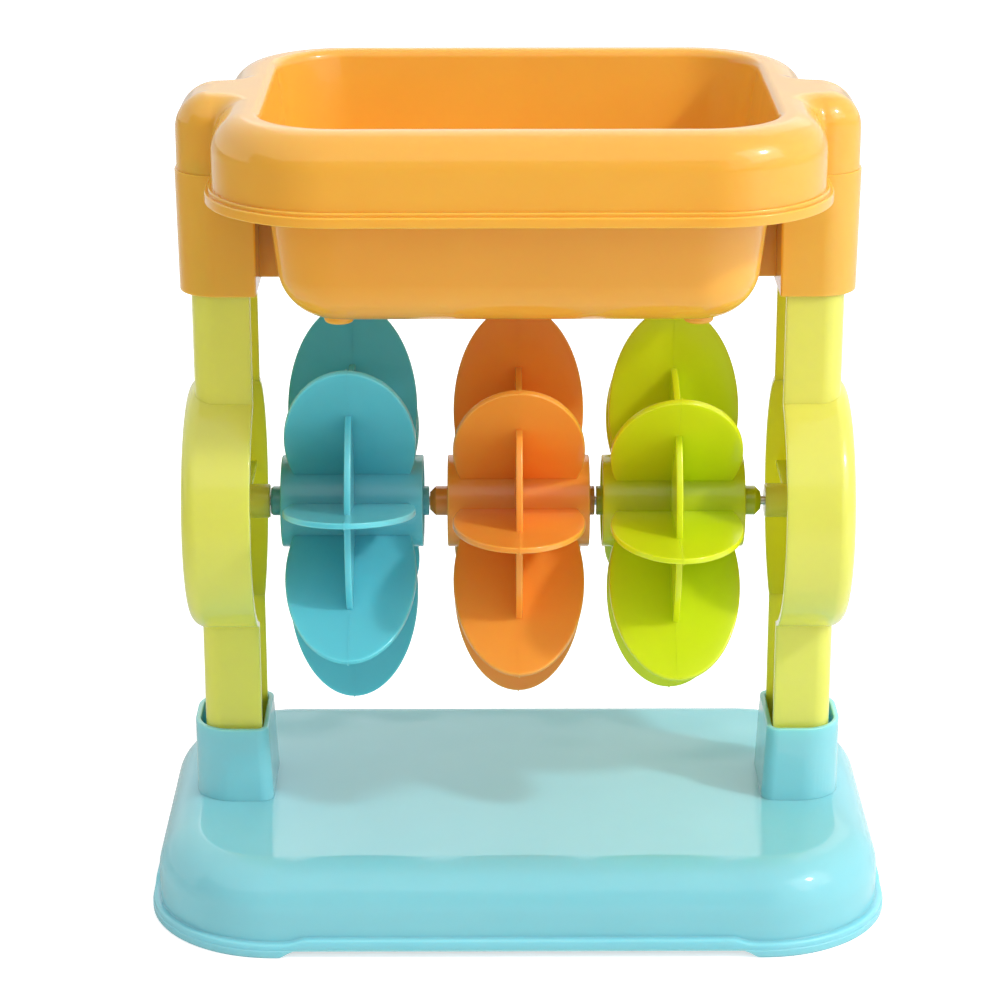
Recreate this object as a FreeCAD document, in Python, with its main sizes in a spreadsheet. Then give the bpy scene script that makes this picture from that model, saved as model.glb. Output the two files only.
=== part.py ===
import FreeCAD, Part
import os
import Sketcher

# Sand wheel toy: a moulded base with two leg sockets, two channel-section legs, a hopper that
# sits over the tops of the legs, and three paddle wheels that turn freely on one steel axle.
# Millimetres. X runs along the axle, the front is -Y, and Z is up from the table.

SIZE_TABLE = [
    # base: a shallow dome over a lip that touches the table only at its four corners
    ("base_half_width", "120"),
    ("base_half_depth", "75.35"),
    ("base_corner", "42.35"),
    ("base_height", "28.35"),
    ("base_wall", "2.2"),
    ("base_round", "14"),
    ("lip_width", "2.57"),
    ("lip_height", "6.3"),
    ("lip_round", "0.8"),
    ("lip_drop", "1.5"),
    ("lip_slope", "6.6"),
    ("lip_end_gap", "3.55"),
    ("lip_side_gap", "1.4"),
    ("arch_height", "2.5"),
    ("arch_slope", "6.3"),
    ("arch_end_setback", "42.7"),
    ("arch_side_setback", "40.55"),
    ("base_width", "=2 * base_half_width"),
    ("base_depth", "=2 * base_half_depth"),
    ("dome_half_width", "=base_half_width - lip_width"),
    ("dome_half_depth", "=base_half_depth - lip_width"),
    ("dome_corner", "=base_corner - lip_width"),
    ("hollow_half_width", "=dome_half_width - base_wall"),
    ("hollow_half_depth", "=dome_half_depth - base_wall"),
    ("hollow_corner", "=dome_corner - base_wall"),
    ("hollow_height", "=base_height - base_wall"),
    ("hollow_round", "=base_round - base_wall"),
    ("arch_foot_half_width", "=base_half_width - arch_end_setback"),
    ("arch_foot_half_depth", "=base_half_depth - arch_side_setback"),
    ("arch_half_width", "=arch_foot_half_width - arch_slope"),
    ("arch_half_depth", "=arch_foot_half_depth - arch_slope"),
    ("lip_corner_height", "=lip_height - lip_drop"),
    ("lip_foot_half_width", "=base_half_width - base_corner - lip_end_gap"),
    ("lip_foot_half_depth", "=base_half_depth - base_corner - lip_side_gap"),
    ("lip_half_width", "=lip_foot_half_width - lip_slope"),
    ("lip_half_depth", "=lip_foot_half_depth - lip_slope"),

    # legs: channels that are open towards the wheels, with a round drum at axle height
    ("leg_setback", "35.7"),
    ("leg_width", "18.9"),
    ("leg_wall", "1.8"),
    ("leg_upper_half_depth", "16.44"),
    ("leg_upper_corner", "7"),
    ("leg_lower_half_depth", "14.2"),
    ("leg_lower_corner", "5.5"),
    ("leg_inner_corner", "0.6"),
    ("leg_top", "244"),
    ("ring_radius", "41.27"),
    ("ring_proud", "3.2"),
    ("ring_round", "5.5"),
    ("boss_overhang", "3.7"),
    ("boss_radius", "5.55"),
    ("rib_setback", "3.6"),
    ("rib_thickness", "1.8"),
    ("leg_inner", "=base_half_width - leg_setback"),
    ("leg_outer", "=leg_inner + leg_width"),
    ("ring_outer", "=leg_outer + ring_proud"),
    ("boss_end", "=leg_inner - boss_overhang"),
    ("leg_bottom", "=base_height"),
    ("leg_upper_length", "=leg_top - axle_height"),
    ("leg_lower_length", "=axle_height - leg_bottom"),
    ("channel_outer", "=leg_outer - leg_wall"),
    ("channel_mouth", "=leg_inner - leg_width"),
    ("upper_channel_half_depth", "=leg_upper_half_depth - leg_wall"),
    ("upper_channel_corner", "=leg_upper_corner - leg_wall"),
    ("upper_channel_length", "=leg_upper_length - leg_wall"),
    ("lower_channel_half_depth", "=leg_lower_half_depth - leg_wall"),
    ("lower_channel_corner", "=leg_lower_corner - leg_wall"),
    ("lower_channel_length", "=leg_lower_length - leg_wall"),
    ("lower_channel_bottom", "=leg_bottom + leg_wall"),
    ("ring_depth", "=ring_outer - leg_inner"),
    ("ring_hollow_radius", "=ring_radius - leg_wall"),
    ("ring_hollow_depth", "=ring_depth - leg_wall"),
    ("ring_hollow_round", "=ring_round - leg_wall"),
    ("ring_floor", "=ring_outer - leg_wall"),
    ("boss_length", "=ring_floor - boss_end"),
    ("rib_start", "=leg_inner + rib_setback"),
    ("rib_length", "=ring_floor - rib_start"),
    ("rib_half_thickness", "=rib_thickness / 2"),
    ("rib_half_span", "=ring_hollow_radius + leg_wall / 2"),

    # axle: a plain steel rod held in the blind bores of the two bosses
    ("axle_height", "127.73"),
    ("axle_radius", "1.5"),
    ("axle_seat", "15.4"),
    ("axle_chamfer", "0.3"),
    ("axle_seat_clearance", "0.03"),
    ("axle_end_clearance", "0.25"),
    ("axle_half_length", "=boss_end + axle_seat"),
    ("axle_length", "=2 * axle_half_length"),
    ("seat_radius", "=axle_radius + axle_seat_clearance"),
    ("seat_depth", "=axle_seat + axle_end_clearance"),

    # sockets on the base: flat towards the wheels, rounded outside, drawn in a little upwards
    ("socket_inner_lap", "2"),
    ("socket_outer_lap", "3.8"),
    ("socket_lean", "1.4"),
    ("socket_half_depth", "17.4"),
    ("socket_inner_corner", "4"),
    ("socket_outer_corner", "12.5"),
    ("socket_wall", "1.8"),
    ("socket_top", "53.84"),
    ("socket_inner_top", "=leg_inner - socket_inner_lap"),
    ("socket_inner_foot", "=socket_inner_top - socket_lean"),
    ("socket_outer", "=leg_outer + socket_outer_lap"),
    ("socket_cut_inner", "=socket_inner_top + socket_wall"),
    ("socket_cut_outer", "=socket_outer - socket_wall"),
    ("socket_cut_half_depth", "=socket_half_depth - socket_wall"),
    ("socket_cut_inner_corner", "=socket_inner_corner - socket_wall"),
    ("socket_cut_outer_corner", "=socket_outer_corner - socket_wall"),
    ("socket_depth", "=socket_top - base_height"),

    # hopper rim: a rounded skirt with a stepped lip along its lower edge
    ("rim_overhang", "8.7"),
    ("rim_half_width", "=leg_inner + rim_overhang"),
    ("rim_half_depth", "75.6"),
    ("rim_corner", "37"),
    ("rim_top", "264.5"),
    ("rim_round", "11"),
    ("mouth_round", "3"),
    ("hopper_wall", "2"),
    ("flange_width", "2.3"),
    ("flange_bottom", "237.9"),
    ("flange_height", "3.2"),
    ("ledge_width", "1.1"),
    ("ledge_height", "4.4"),
    ("rim_height", "=rim_top - flange_bottom"),
    ("flange_half_width", "=rim_half_width + flange_width"),
    ("flange_half_depth", "=rim_half_depth + flange_width"),
    ("flange_corner", "=rim_corner + flange_width"),
    ("ledge_half_width", "=rim_half_width + ledge_width"),
    ("ledge_half_depth", "=rim_half_depth + ledge_width"),
    ("ledge_corner", "=rim_corner + ledge_width"),
    ("skirt_half_width", "=rim_half_width - hopper_wall"),
    ("skirt_half_depth", "=rim_half_depth - hopper_wall"),
    ("skirt_corner", "=rim_corner - hopper_wall"),
    ("skirt_height", "=rim_height - hopper_wall"),
    ("skirt_round", "=rim_round - hopper_wall"),
    ("skirt_top", "=rim_top - hopper_wall"),

    # hopper tub: drawn in towards its floor, with an outlet slot over each wheel and four feet
    ("tub_end_gap", "4.6"),
    ("tub_half_width", "=leg_inner - tub_end_gap"),
    ("tub_half_depth", "63.3"),
    ("tub_corner", "26"),
    ("tub_drawn_in", "7.7"),
    ("tub_bottom", "201.1"),
    ("tub_round", "16.3"),
    ("tub_foot_radius", "4.6"),
    ("tub_foot_height", "2.2"),
    ("tub_foot_inset", "24.5"),
    ("tub_foot_x", "=tub_half_width - tub_foot_inset"),
    ("tub_foot_y", "38"),
    ("outlet_half_length", "8"),
    ("outlet_half_width", "4"),
    ("outlet_setback", "18"),
    ("outlet_corner_share", "0.96"),
    ("overrun", "1"),
    ("tub_depth", "=rim_top - tub_bottom"),
    ("tub_draft", "=atan(tub_drawn_in / tub_depth)"),
    ("bowl_half_width", "=tub_half_width - hopper_wall"),
    ("bowl_half_depth", "=tub_half_depth - hopper_wall"),
    ("bowl_corner", "=tub_corner - hopper_wall"),
    ("bowl_bottom", "=tub_bottom + hopper_wall"),
    ("bowl_depth", "=rim_top - bowl_bottom"),
    ("bowl_round", "=tub_round - hopper_wall"),
    ("tub_foot_bottom", "=tub_bottom - tub_foot_height"),
    ("tub_foot_length", "=tub_foot_height + hopper_wall / 2"),
    ("outlet_corner", "=outlet_half_width * outlet_corner_share"),
    ("outlet_bottom", "=tub_bottom - overrun"),
    ("outlet_depth", "=hopper_wall + 2 * overrun"),

    # leg sleeves at the hopper's ends: a domed shoulder over a sleeve, tied to the tub by a web
    ("shoulder_step", "0.6"),
    ("shoulder_half_depth", "18.1"),
    ("shoulder_corner", "13"),
    ("shoulder_end_round", "12"),
    ("shoulder_side_round", "9"),
    ("sleeve_inner_wall", "2.6"),
    ("sleeve_outer_wall", "4.4"),
    ("sleeve_half_depth", "18.4"),
    ("sleeve_inner_corner", "1.2"),
    ("sleeve_outer_corner", "13"),
    ("sleeve_bottom", "201.1"),
    ("sleeve_top", "240.1"),
    ("sleeve_clearance", "0.3"),
    ("web_thickness", "2"),
    ("web_bottom", "203.4"),
    ("sleeve_inner", "=leg_inner - sleeve_inner_wall"),
    ("sleeve_outer", "=leg_outer + sleeve_outer_wall"),
    ("shoulder_outer", "=sleeve_outer - shoulder_step"),
    ("shoulder_inner", "=bowl_half_width"),
    ("hollow_shoulder_outer", "=shoulder_outer - hopper_wall"),
    ("hollow_shoulder_half_depth", "=shoulder_half_depth - hopper_wall"),
    ("hollow_shoulder_corner", "=shoulder_corner - hopper_wall"),
    ("hollow_shoulder_height", "=skirt_top - sleeve_top"),
    ("hollow_end_round", "=shoulder_end_round - hopper_wall"),
    ("hollow_side_round", "=shoulder_side_round - hopper_wall"),
    ("stop_start", "=sleeve_cut_inner - hopper_wall / 2"),
    ("stop_end", "=shoulder_outer - shoulder_end_round"),
    ("stop_height", "=rim_top - leg_top - hopper_wall / 2"),
    ("shoulder_height", "=rim_top - sleeve_top"),
    ("sleeve_height", "=sleeve_top - sleeve_bottom"),
    ("sleeve_cut_inner", "=leg_inner - sleeve_clearance"),
    ("sleeve_cut_outer", "=leg_outer + sleeve_clearance"),
    ("sleeve_cut_half_depth", "=leg_upper_half_depth + sleeve_clearance"),
    ("sleeve_cut_corner", "=leg_upper_corner + sleeve_clearance"),
    ("sleeve_cut_inner_corner", "=leg_inner_corner + sleeve_clearance"),
    ("sleeve_cut_height", "=leg_top - sleeve_bottom"),
    ("web_half_thickness", "=web_thickness / 2"),
    ("web_start", "=tub_half_width - tub_drawn_in - tub_round"),
    ("web_end", "=sleeve_inner + hopper_wall / 2"),
    ("web_height", "=sleeve_top - web_bottom"),

    # paddle wheels: an open-ended drum round an axle tube, a centre disc and eight petal blades
    ("drum_radius", "15"),
    ("drum_wall", "1.8"),
    ("drum_round", "0.7"),
    ("disc_radius", "44.7"),
    ("disc_thickness", "2.1"),
    ("petal_centre", "30"),
    ("petal_reach", "34.7"),
    ("petal_end_gap", "1.95"),
    ("petal_thickness", "1.9"),
    ("tube_radius", "4.8"),
    ("tube_clearance", "0.08"),
    ("long_collar", "5.8"),
    ("long_collar_chamfer", "1.9"),
    ("short_collar", "1.8"),
    ("short_collar_chamfer", "0.3"),
    ("end_collar", "3.7"),
    ("end_collar_chamfer", "0.6"),
    ("drum_bore_radius", "=drum_radius - drum_wall"),
    ("tube_bore", "=axle_radius + tube_clearance"),

    # the wheels share the axle between the bosses, with these gaps from left to right
    ("left_gap", "0.3"),
    ("left_middle_gap", "0.25"),
    ("middle_right_gap", "0.55"),
    ("right_gap", "1.4"),
    ("total_gaps", "=left_gap + left_middle_gap + middle_right_gap + right_gap"),
    ("total_collars", "=end_collar + 3 * short_collar + 2 * long_collar"),
    ("drum_length", "=(2 * boss_end - total_gaps - total_collars) / 3"),
    ("half_drum", "=drum_length / 2"),
    ("recess_depth", "=(drum_length - disc_thickness) / 2"),
    ("petal_half_width", "=half_drum - petal_end_gap"),
    ("left_wheel_x", "=left_gap + end_collar + half_drum - boss_end"),
    ("left_wheel_turn", "11.88"),
    ("middle_wheel_x", "=left_wheel_x + drum_length + short_collar + left_middle_gap + long_collar"),
    ("middle_wheel_turn", "5.03"),
    ("right_wheel_x", "=boss_end - right_gap - long_collar - half_drum"),
    ("right_wheel_turn", "1.92"),
]

BLADES = 8

os.makedirs("parts", exist_ok=True)
doc = FreeCAD.newDocument("sand_wheel")
sheet = doc.addObject("Spreadsheet::Sheet", "Sizes")
for row, (alias, content) in enumerate(SIZE_TABLE, start=1):
    sheet.set(f"A{row}", alias)
    sheet.set(f"B{row}", content)
    sheet.setAlias(f"B{row}", alias)
doc.recompute()


def size(alias):
    """The sheet's value for an alias, with a leading minus sign allowed."""
    if alias.startswith("-"):
        return -size(alias[1:])
    return float(sheet.get(alias))


def bind(thing, prop, alias):
    """Tie a property of an object to an alias of the sheet."""
    text = f"-Sizes.{alias[1:]}" if alias.startswith("-") else f"Sizes.{alias}"
    thing.setExpression(prop, text)


def new_body(label):
    """An empty body under its own label."""
    body = doc.addObject("PartDesign::Body", label)
    body.Label = label
    return body


def new_sketch(body, plane_role, offset=None):
    """A sketch on one of the body's origin planes, shifted along the plane's normal."""
    sketch = body.newObject("Sketcher::SketchObject", body.Label + "_sketch")
    plane = next(f for f in body.Origin.OriginFeatures if f.Role == plane_role)
    sketch.AttachmentSupport = [(plane, "")]
    sketch.MapMode = "FlatFace"
    if offset:
        bind(sketch, "AttachmentOffset.Base.z", offset)
    return sketch


def limit(sketch, kind, first, second, alias):
    """A driving dimension between two points, each a pair of curve and end, tied to the sheet."""
    if alias.startswith("-"):
        first, second, alias = second, first, alias[1:]
    index = sketch.addConstraint(Sketcher.Constraint(kind, *first, *second, size(alias)))
    bind(sketch, f"Constraints[{index}]", alias)


def limit_radius(sketch, curve, alias):
    """A driving radius, tied to the sheet."""
    index = sketch.addConstraint(Sketcher.Constraint("Radius", curve, size(alias)))
    bind(sketch, f"Constraints[{index}]", alias)


def draw_plan(sketch, low, high, half_depth, low_corner, high_corner):
    """A rectangle with rounded corners, from low to high in x and even about the x axis."""
    x0, x1, y1 = size(low), size(high), size(half_depth)
    r0, r1 = size(low_corner), size(high_corner)
    point = FreeCAD.Vector
    up = point(0, 0, 1)
    quarter = FreeCAD.Units.Quantity("90 deg").getValueAs("rad").Value

    def line(a, b):
        return Part.LineSegment(point(*a), point(*b))

    def corner(x, y, radius, turn):
        return Part.ArcOfCircle(Part.Circle(point(x, y), up, radius), turn * quarter, (turn + 1) * quarter)

    sketch.addGeometry([
        line((x0 + r0, -y1), (x1 - r1, -y1)),
        corner(x1 - r1, r1 - y1, r1, -1),
        line((x1, r1 - y1), (x1, y1 - r1)),
        corner(x1 - r1, y1 - r1, r1, 0),
        line((x1 - r1, y1), (x0 + r0, y1)),
        corner(x0 + r0, y1 - r0, r0, 1),
        line((x0, y1 - r0), (x0, r0 - y1)),
        corner(x0 + r0, r0 - y1, r0, 2),
    ])
    curves = 8
    for curve in range(curves):
        following = (curve + 1) % curves
        sketch.addConstraint(Sketcher.Constraint("Tangent", curve, 2, following, 1))
    for curve in (0, 4):
        sketch.addConstraint(Sketcher.Constraint("Horizontal", curve))
    for curve in (2, 6):
        sketch.addConstraint(Sketcher.Constraint("Vertical", curve))
    sketch.addConstraint(Sketcher.Constraint("Equal", 1, 3))
    sketch.addConstraint(Sketcher.Constraint("Equal", 5, 7))
    limit_radius(sketch, 1, high_corner)
    limit_radius(sketch, 5, low_corner)
    origin = (-1, 1)
    limit(sketch, "DistanceX", origin, (2, 1), high)
    limit(sketch, "DistanceX", origin, (6, 1), low)
    limit(sketch, "DistanceY", (0, 1), origin, half_depth)
    limit(sketch, "DistanceY", origin, (4, 1), half_depth)
    return sketch


def draw_circle(sketch, radius, centre_x=None, centre_y=None):
    """A circle about the sketch's origin, or about a centre given by two aliases."""
    x = size(centre_x) if centre_x else 0
    y = size(centre_y) if centre_y else 0
    circle = Part.Circle(FreeCAD.Vector(x, y), FreeCAD.Vector(0, 0, 1), size(radius))
    curve = sketch.addGeometry(circle)
    limit_radius(sketch, curve, radius)
    origin, middle = (-1, 1), (curve, 3)
    if centre_x:
        limit(sketch, "DistanceX", origin, middle, centre_x)
    else:
        sketch.addConstraint(Sketcher.Constraint("PointOnObject", *middle, -2))
    if centre_y:
        limit(sketch, "DistanceY", origin, middle, centre_y)
    else:
        sketch.addConstraint(Sketcher.Constraint("PointOnObject", *middle, -1))
    return sketch


def draw_corners(sketch, corners):
    """A closed polygon whose corners are pairs of aliases, None standing for zero."""
    places = [[size(alias) if alias else 0 for alias in pair] for pair in corners]
    count = len(corners)
    for index in range(count):
        start, end = places[index], places[(index + 1) % count]
        sketch.addGeometry(Part.LineSegment(FreeCAD.Vector(*start), FreeCAD.Vector(*end)))
    for index in range(count):
        following = (index + 1) % count
        sketch.addConstraint(Sketcher.Constraint("Coincident", index, 2, following, 1))
    for index, (along, across) in enumerate(corners):
        if along:
            limit(sketch, "DistanceX", (-1, 1), (index, 1), along)
        else:
            sketch.addConstraint(Sketcher.Constraint("PointOnObject", index, 1, -2))
        if across:
            limit(sketch, "DistanceY", (-1, 1), (index, 1), across)
        else:
            sketch.addConstraint(Sketcher.Constraint("PointOnObject", index, 1, -1))
    return sketch


def extrude(body, sketch, length, cut=False, symmetric=False, reverse=False):
    """Pad or pocket a sketch along its normal and check that the volume changed as meant."""
    before = body.Shape.Volume if body.Tip else 0
    feature = body.newObject("PartDesign::Pocket" if cut else "PartDesign::Pad", body.Label + "_step")
    feature.Profile = sketch
    bind(feature, "Length", length)
    feature.SideType = "Symmetric" if symmetric else "One side"
    # a pocket runs against the sketch's normal unless it is turned round
    feature.Reversed = (not reverse) if cut else reverse
    body.Tip = feature
    doc.recompute()
    after = body.Shape.Volume
    if (after >= before) if cut else (after <= before):
        raise RuntimeError(f"{feature.Label} left the volume of {body.Label} as it was")
    return feature


def loft(body, lower, upper):
    """A straight-sided loft from one plan to another, added to the body."""
    feature = body.newObject("PartDesign::AdditiveLoft", body.Label + "_loft")
    feature.Profile = lower
    feature.Sections = [upper]
    feature.Ruled = True
    body.Tip = feature
    doc.recompute()
    return feature


def soften(body, radius, wanted, kind="Fillet"):
    """Round or bevel every edge of the body for which wanted(edge) is true."""
    base = body.Tip
    names = [f"Edge{n}" for n, edge in enumerate(base.Shape.Edges, start=1) if wanted(edge)]
    if not names:
        raise RuntimeError(f"no edge of {body.Label} to soften")
    feature = body.newObject(f"PartDesign::{kind}", body.Label + "_" + kind.lower())
    feature.Base = (base, names)
    bind(feature, "Radius" if kind == "Fillet" else "Size", radius)
    body.Tip = feature
    doc.recompute()
    return feature


def lies_at(axis, alias):
    """A test for edges that lie in the plane at one value of X, Y or Z."""
    place = size(alias)
    near = size("overrun") / 1000

    def wanted(edge):
        box = edge.BoundBox
        low = getattr(box, axis + "Min")
        high = getattr(box, axis + "Max")
        return abs(low - place) < near and abs(high - place) < near

    return wanted


def turn_pattern(body, originals, count):
    """Repeat features about the body's X axis."""
    pattern = body.newObject("PartDesign::PolarPattern", body.Label + "_pattern")
    pattern.Originals = originals
    axis = next(f for f in body.Origin.OriginFeatures if f.Role == "X_Axis")
    pattern.Axis = (axis, [""])
    pattern.Angle = 360
    pattern.Occurrences = count
    body.Tip = pattern
    doc.recompute()
    return pattern


def mirror(body, originals):
    """Repeat features on the other side of the body's YZ plane."""
    mirrored = body.newObject("PartDesign::Mirrored", body.Label + "_mirror")
    mirrored.Originals = originals
    plane = next(f for f in body.Origin.OriginFeatures if f.Role == "YZ_Plane")
    mirrored.MirrorPlane = (plane, [""])
    body.Tip = mirrored
    doc.recompute()
    return mirrored


def across(source, label):
    """A mirror image of a form on the other side of the YZ plane."""
    image = doc.addObject("Part::Mirroring", label)
    image.Label = label
    image.Source = source
    image.Normal = FreeCAD.Vector(1, 0, 0)
    return image


def join(label, shapes):
    """One solid made of several that overlap."""
    whole = doc.addObject("Part::MultiFuse", label)
    whole.Shapes = shapes
    whole.Refine = True
    whole.Label = label
    doc.recompute()
    return whole


def remove(label, base, tool):
    """A solid with another cut out of it."""
    rest = doc.addObject("Part::Cut", label)
    rest.Base = base
    rest.Tool = tool
    rest.Refine = True
    rest.Label = label
    doc.recompute()
    return rest


def round_edges(label, base, radii):
    """A form with its edges rounded by the start and end radius that radii(edge) gives, if any."""
    rounded = doc.addObject("Part::Fillet", label)
    rounded.Label = label
    rounded.Base = base
    pairs = [(number, radii(edge)) for number, edge in enumerate(base.Shape.Edges, start=1)]
    rounded.Edges = [(number, *pair) for number, pair in pairs if pair]
    doc.recompute()
    return rounded


def on_lip(edge):
    """Whether an edge runs along the lip's foot or along its outer top edge."""
    near = size("overrun") / 1000
    box = edge.BoundBox
    if box.ZMax < near:
        return True
    beside = any(high - low < near and abs(abs(low) - size(half)) < near for low, high, half in (
        (box.XMin, box.XMax, "base_half_width"), (box.YMin, box.YMax, "base_half_depth")))
    bent = edge.Curve.TypeId == "Part::GeomCircle"
    return box.ZMin > size("lip_corner_height") - near and (beside or bent)


def make_base():
    """The lip, the dome over it, the sockets, the arches between the feet, the hollow beneath."""
    body = new_body("base_form")
    lip = draw_plan(new_sketch(body, "XY_Plane"), "-base_half_width", "base_half_width",
                    "base_half_depth", "base_corner", "base_corner")
    extrude(body, lip, "lip_corner_height")
    # between the corners the lip's top is higher, by one bank across the base and one along it
    for role, foot, crown, reach in (
            ("XZ_Plane", "lip_foot_half_width", "lip_half_width", "base_depth"),
            ("YZ_Plane", "lip_foot_half_depth", "lip_half_depth", "base_width")):
        corners = [("-" + foot, "lip_corner_height"), (foot, "lip_corner_height"),
                   (crown, "lip_height"), ("-" + crown, "lip_height")]
        extrude(body, draw_corners(new_sketch(body, role), corners), reach, symmetric=True)
    soften(body, "lip_round", on_lip)
    dome = draw_plan(new_sketch(body, "XY_Plane"), "-dome_half_width", "dome_half_width",
                     "dome_half_depth", "dome_corner", "dome_corner")
    extrude(body, dome, "base_height")
    soften(body, "base_round", lies_at("Z", "base_height"))

    lower = draw_plan(new_sketch(body, "XY_Plane", "hollow_height"), "socket_inner_foot",
                      "socket_outer", "socket_half_depth", "socket_inner_corner", "socket_outer_corner")
    upper = draw_plan(new_sketch(body, "XY_Plane", "socket_top"), "socket_inner_top",
                      "socket_outer", "socket_half_depth", "socket_inner_corner", "socket_outer_corner")
    socket = loft(body, lower, upper)
    mirror(body, [socket])
    opening = draw_plan(new_sketch(body, "XY_Plane", "base_height"), "socket_cut_inner",
                        "socket_cut_outer", "socket_cut_half_depth", "socket_cut_inner_corner",
                        "socket_cut_outer_corner")
    pocket = extrude(body, opening, "socket_depth", cut=True)
    mirror(body, [pocket])

    # the front and back edges, then the side edges, are lifted between the corner feet
    for role, foot, crown, reach in (
            ("XZ_Plane", "arch_foot_half_width", "arch_half_width", "base_depth"),
            ("YZ_Plane", "arch_foot_half_depth", "arch_half_depth", "base_width")):
        corners = [("-" + foot, None), (foot, None), (crown, "arch_height"), ("-" + crown, "arch_height")]
        extrude(body, draw_corners(new_sketch(body, role), corners), reach, cut=True, symmetric=True)

    hollow = new_body("base_hollow")
    plan = draw_plan(new_sketch(hollow, "XY_Plane"), "-hollow_half_width", "hollow_half_width",
                     "hollow_half_depth", "hollow_corner", "hollow_corner")
    extrude(hollow, plan, "hollow_height")
    soften(hollow, "hollow_round", lies_at("Z", "hollow_height"))
    return remove("base", body, hollow)


def make_leg():
    """The right leg: a bar, a round drum, the channel inside both, a boss and its ribs."""
    body = new_body("right_leg")
    upper = draw_plan(new_sketch(body, "XY_Plane", "axle_height"), "leg_inner", "leg_outer",
                      "leg_upper_half_depth", "leg_inner_corner", "leg_upper_corner")
    extrude(body, upper, "leg_upper_length")
    lower = draw_plan(new_sketch(body, "XY_Plane", "leg_bottom"), "leg_inner", "leg_outer",
                      "leg_lower_half_depth", "leg_inner_corner", "leg_lower_corner")
    extrude(body, lower, "leg_lower_length")
    ring = draw_circle(new_sketch(body, "YZ_Plane", "leg_inner"), "ring_radius", None, "axle_height")
    extrude(body, ring, "ring_depth")
    soften(body, "ring_round", lies_at("X", "ring_outer"))

    channel = draw_plan(new_sketch(body, "XY_Plane", "axle_height"), "channel_mouth", "channel_outer",
                        "upper_channel_half_depth", "leg_inner_corner", "upper_channel_corner")
    extrude(body, channel, "upper_channel_length", cut=True)
    channel = draw_plan(new_sketch(body, "XY_Plane", "lower_channel_bottom"), "channel_mouth",
                        "channel_outer", "lower_channel_half_depth", "leg_inner_corner",
                        "lower_channel_corner")
    extrude(body, channel, "lower_channel_length", cut=True)
    drum = draw_circle(new_sketch(body, "YZ_Plane", "leg_inner"), "ring_hollow_radius", None,
                       "axle_height")
    extrude(body, drum, "ring_hollow_depth", cut=True)
    soften(body, "ring_hollow_round", lies_at("X", "ring_floor"))

    rib = new_sketch(body, "YZ_Plane", "rib_start")
    draw_rib(rib)
    extrude(body, rib, "rib_length")
    boss = draw_circle(new_sketch(body, "YZ_Plane", "boss_end"), "boss_radius", None, "axle_height")
    extrude(body, boss, "boss_length")
    seat = draw_circle(new_sketch(body, "YZ_Plane", "boss_end"), "seat_radius", None, "axle_height")
    extrude(body, seat, "seat_depth", cut=True)
    return body


def draw_rib(sketch):
    """The end view of the level rib that ties the boss to the drum's front and back walls."""
    half_span, half_thickness = size("rib_half_span"), size("rib_half_thickness")
    height = size("axle_height")
    places = [(-half_span, height - half_thickness), (half_span, height - half_thickness),
              (half_span, height + half_thickness), (-half_span, height + half_thickness)]
    for index, start in enumerate(places):
        end = places[(index + 1) % len(places)]
        sketch.addGeometry(Part.LineSegment(FreeCAD.Vector(*start), FreeCAD.Vector(*end)))
    for index in range(len(places)):
        sketch.addConstraint(Sketcher.Constraint("Coincident", index, 2, (index + 1) % len(places), 1))
    for line in (0, 2):
        sketch.addConstraint(Sketcher.Constraint("Horizontal", line))
    for line in (1, 3):
        sketch.addConstraint(Sketcher.Constraint("Vertical", line))
    limit(sketch, "DistanceX", (0, 1), (-1, 1), "rib_half_span")
    limit(sketch, "DistanceX", (-1, 1), (1, 1), "rib_half_span")
    limit(sketch, "DistanceY", (0, 1), (2, 1), "rib_thickness")
    middle = sketch.addConstraint(Sketcher.Constraint("DistanceY", -1, 1, 0, 1, height - half_thickness))
    sketch.setExpression(f"Constraints[{middle}]", "Sizes.axle_height - Sizes.rib_half_thickness")


def make_axle():
    """The steel rod, with its ends bevelled."""
    body = new_body("axle")
    rod = draw_circle(new_sketch(body, "YZ_Plane"), "axle_radius", None, "axle_height")
    extrude(body, rod, "axle_length", symmetric=True)
    soften(body, "axle_chamfer", lambda edge: edge.BoundBox.XLength < size("overrun") / 1000, "Chamfer")
    return body


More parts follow.
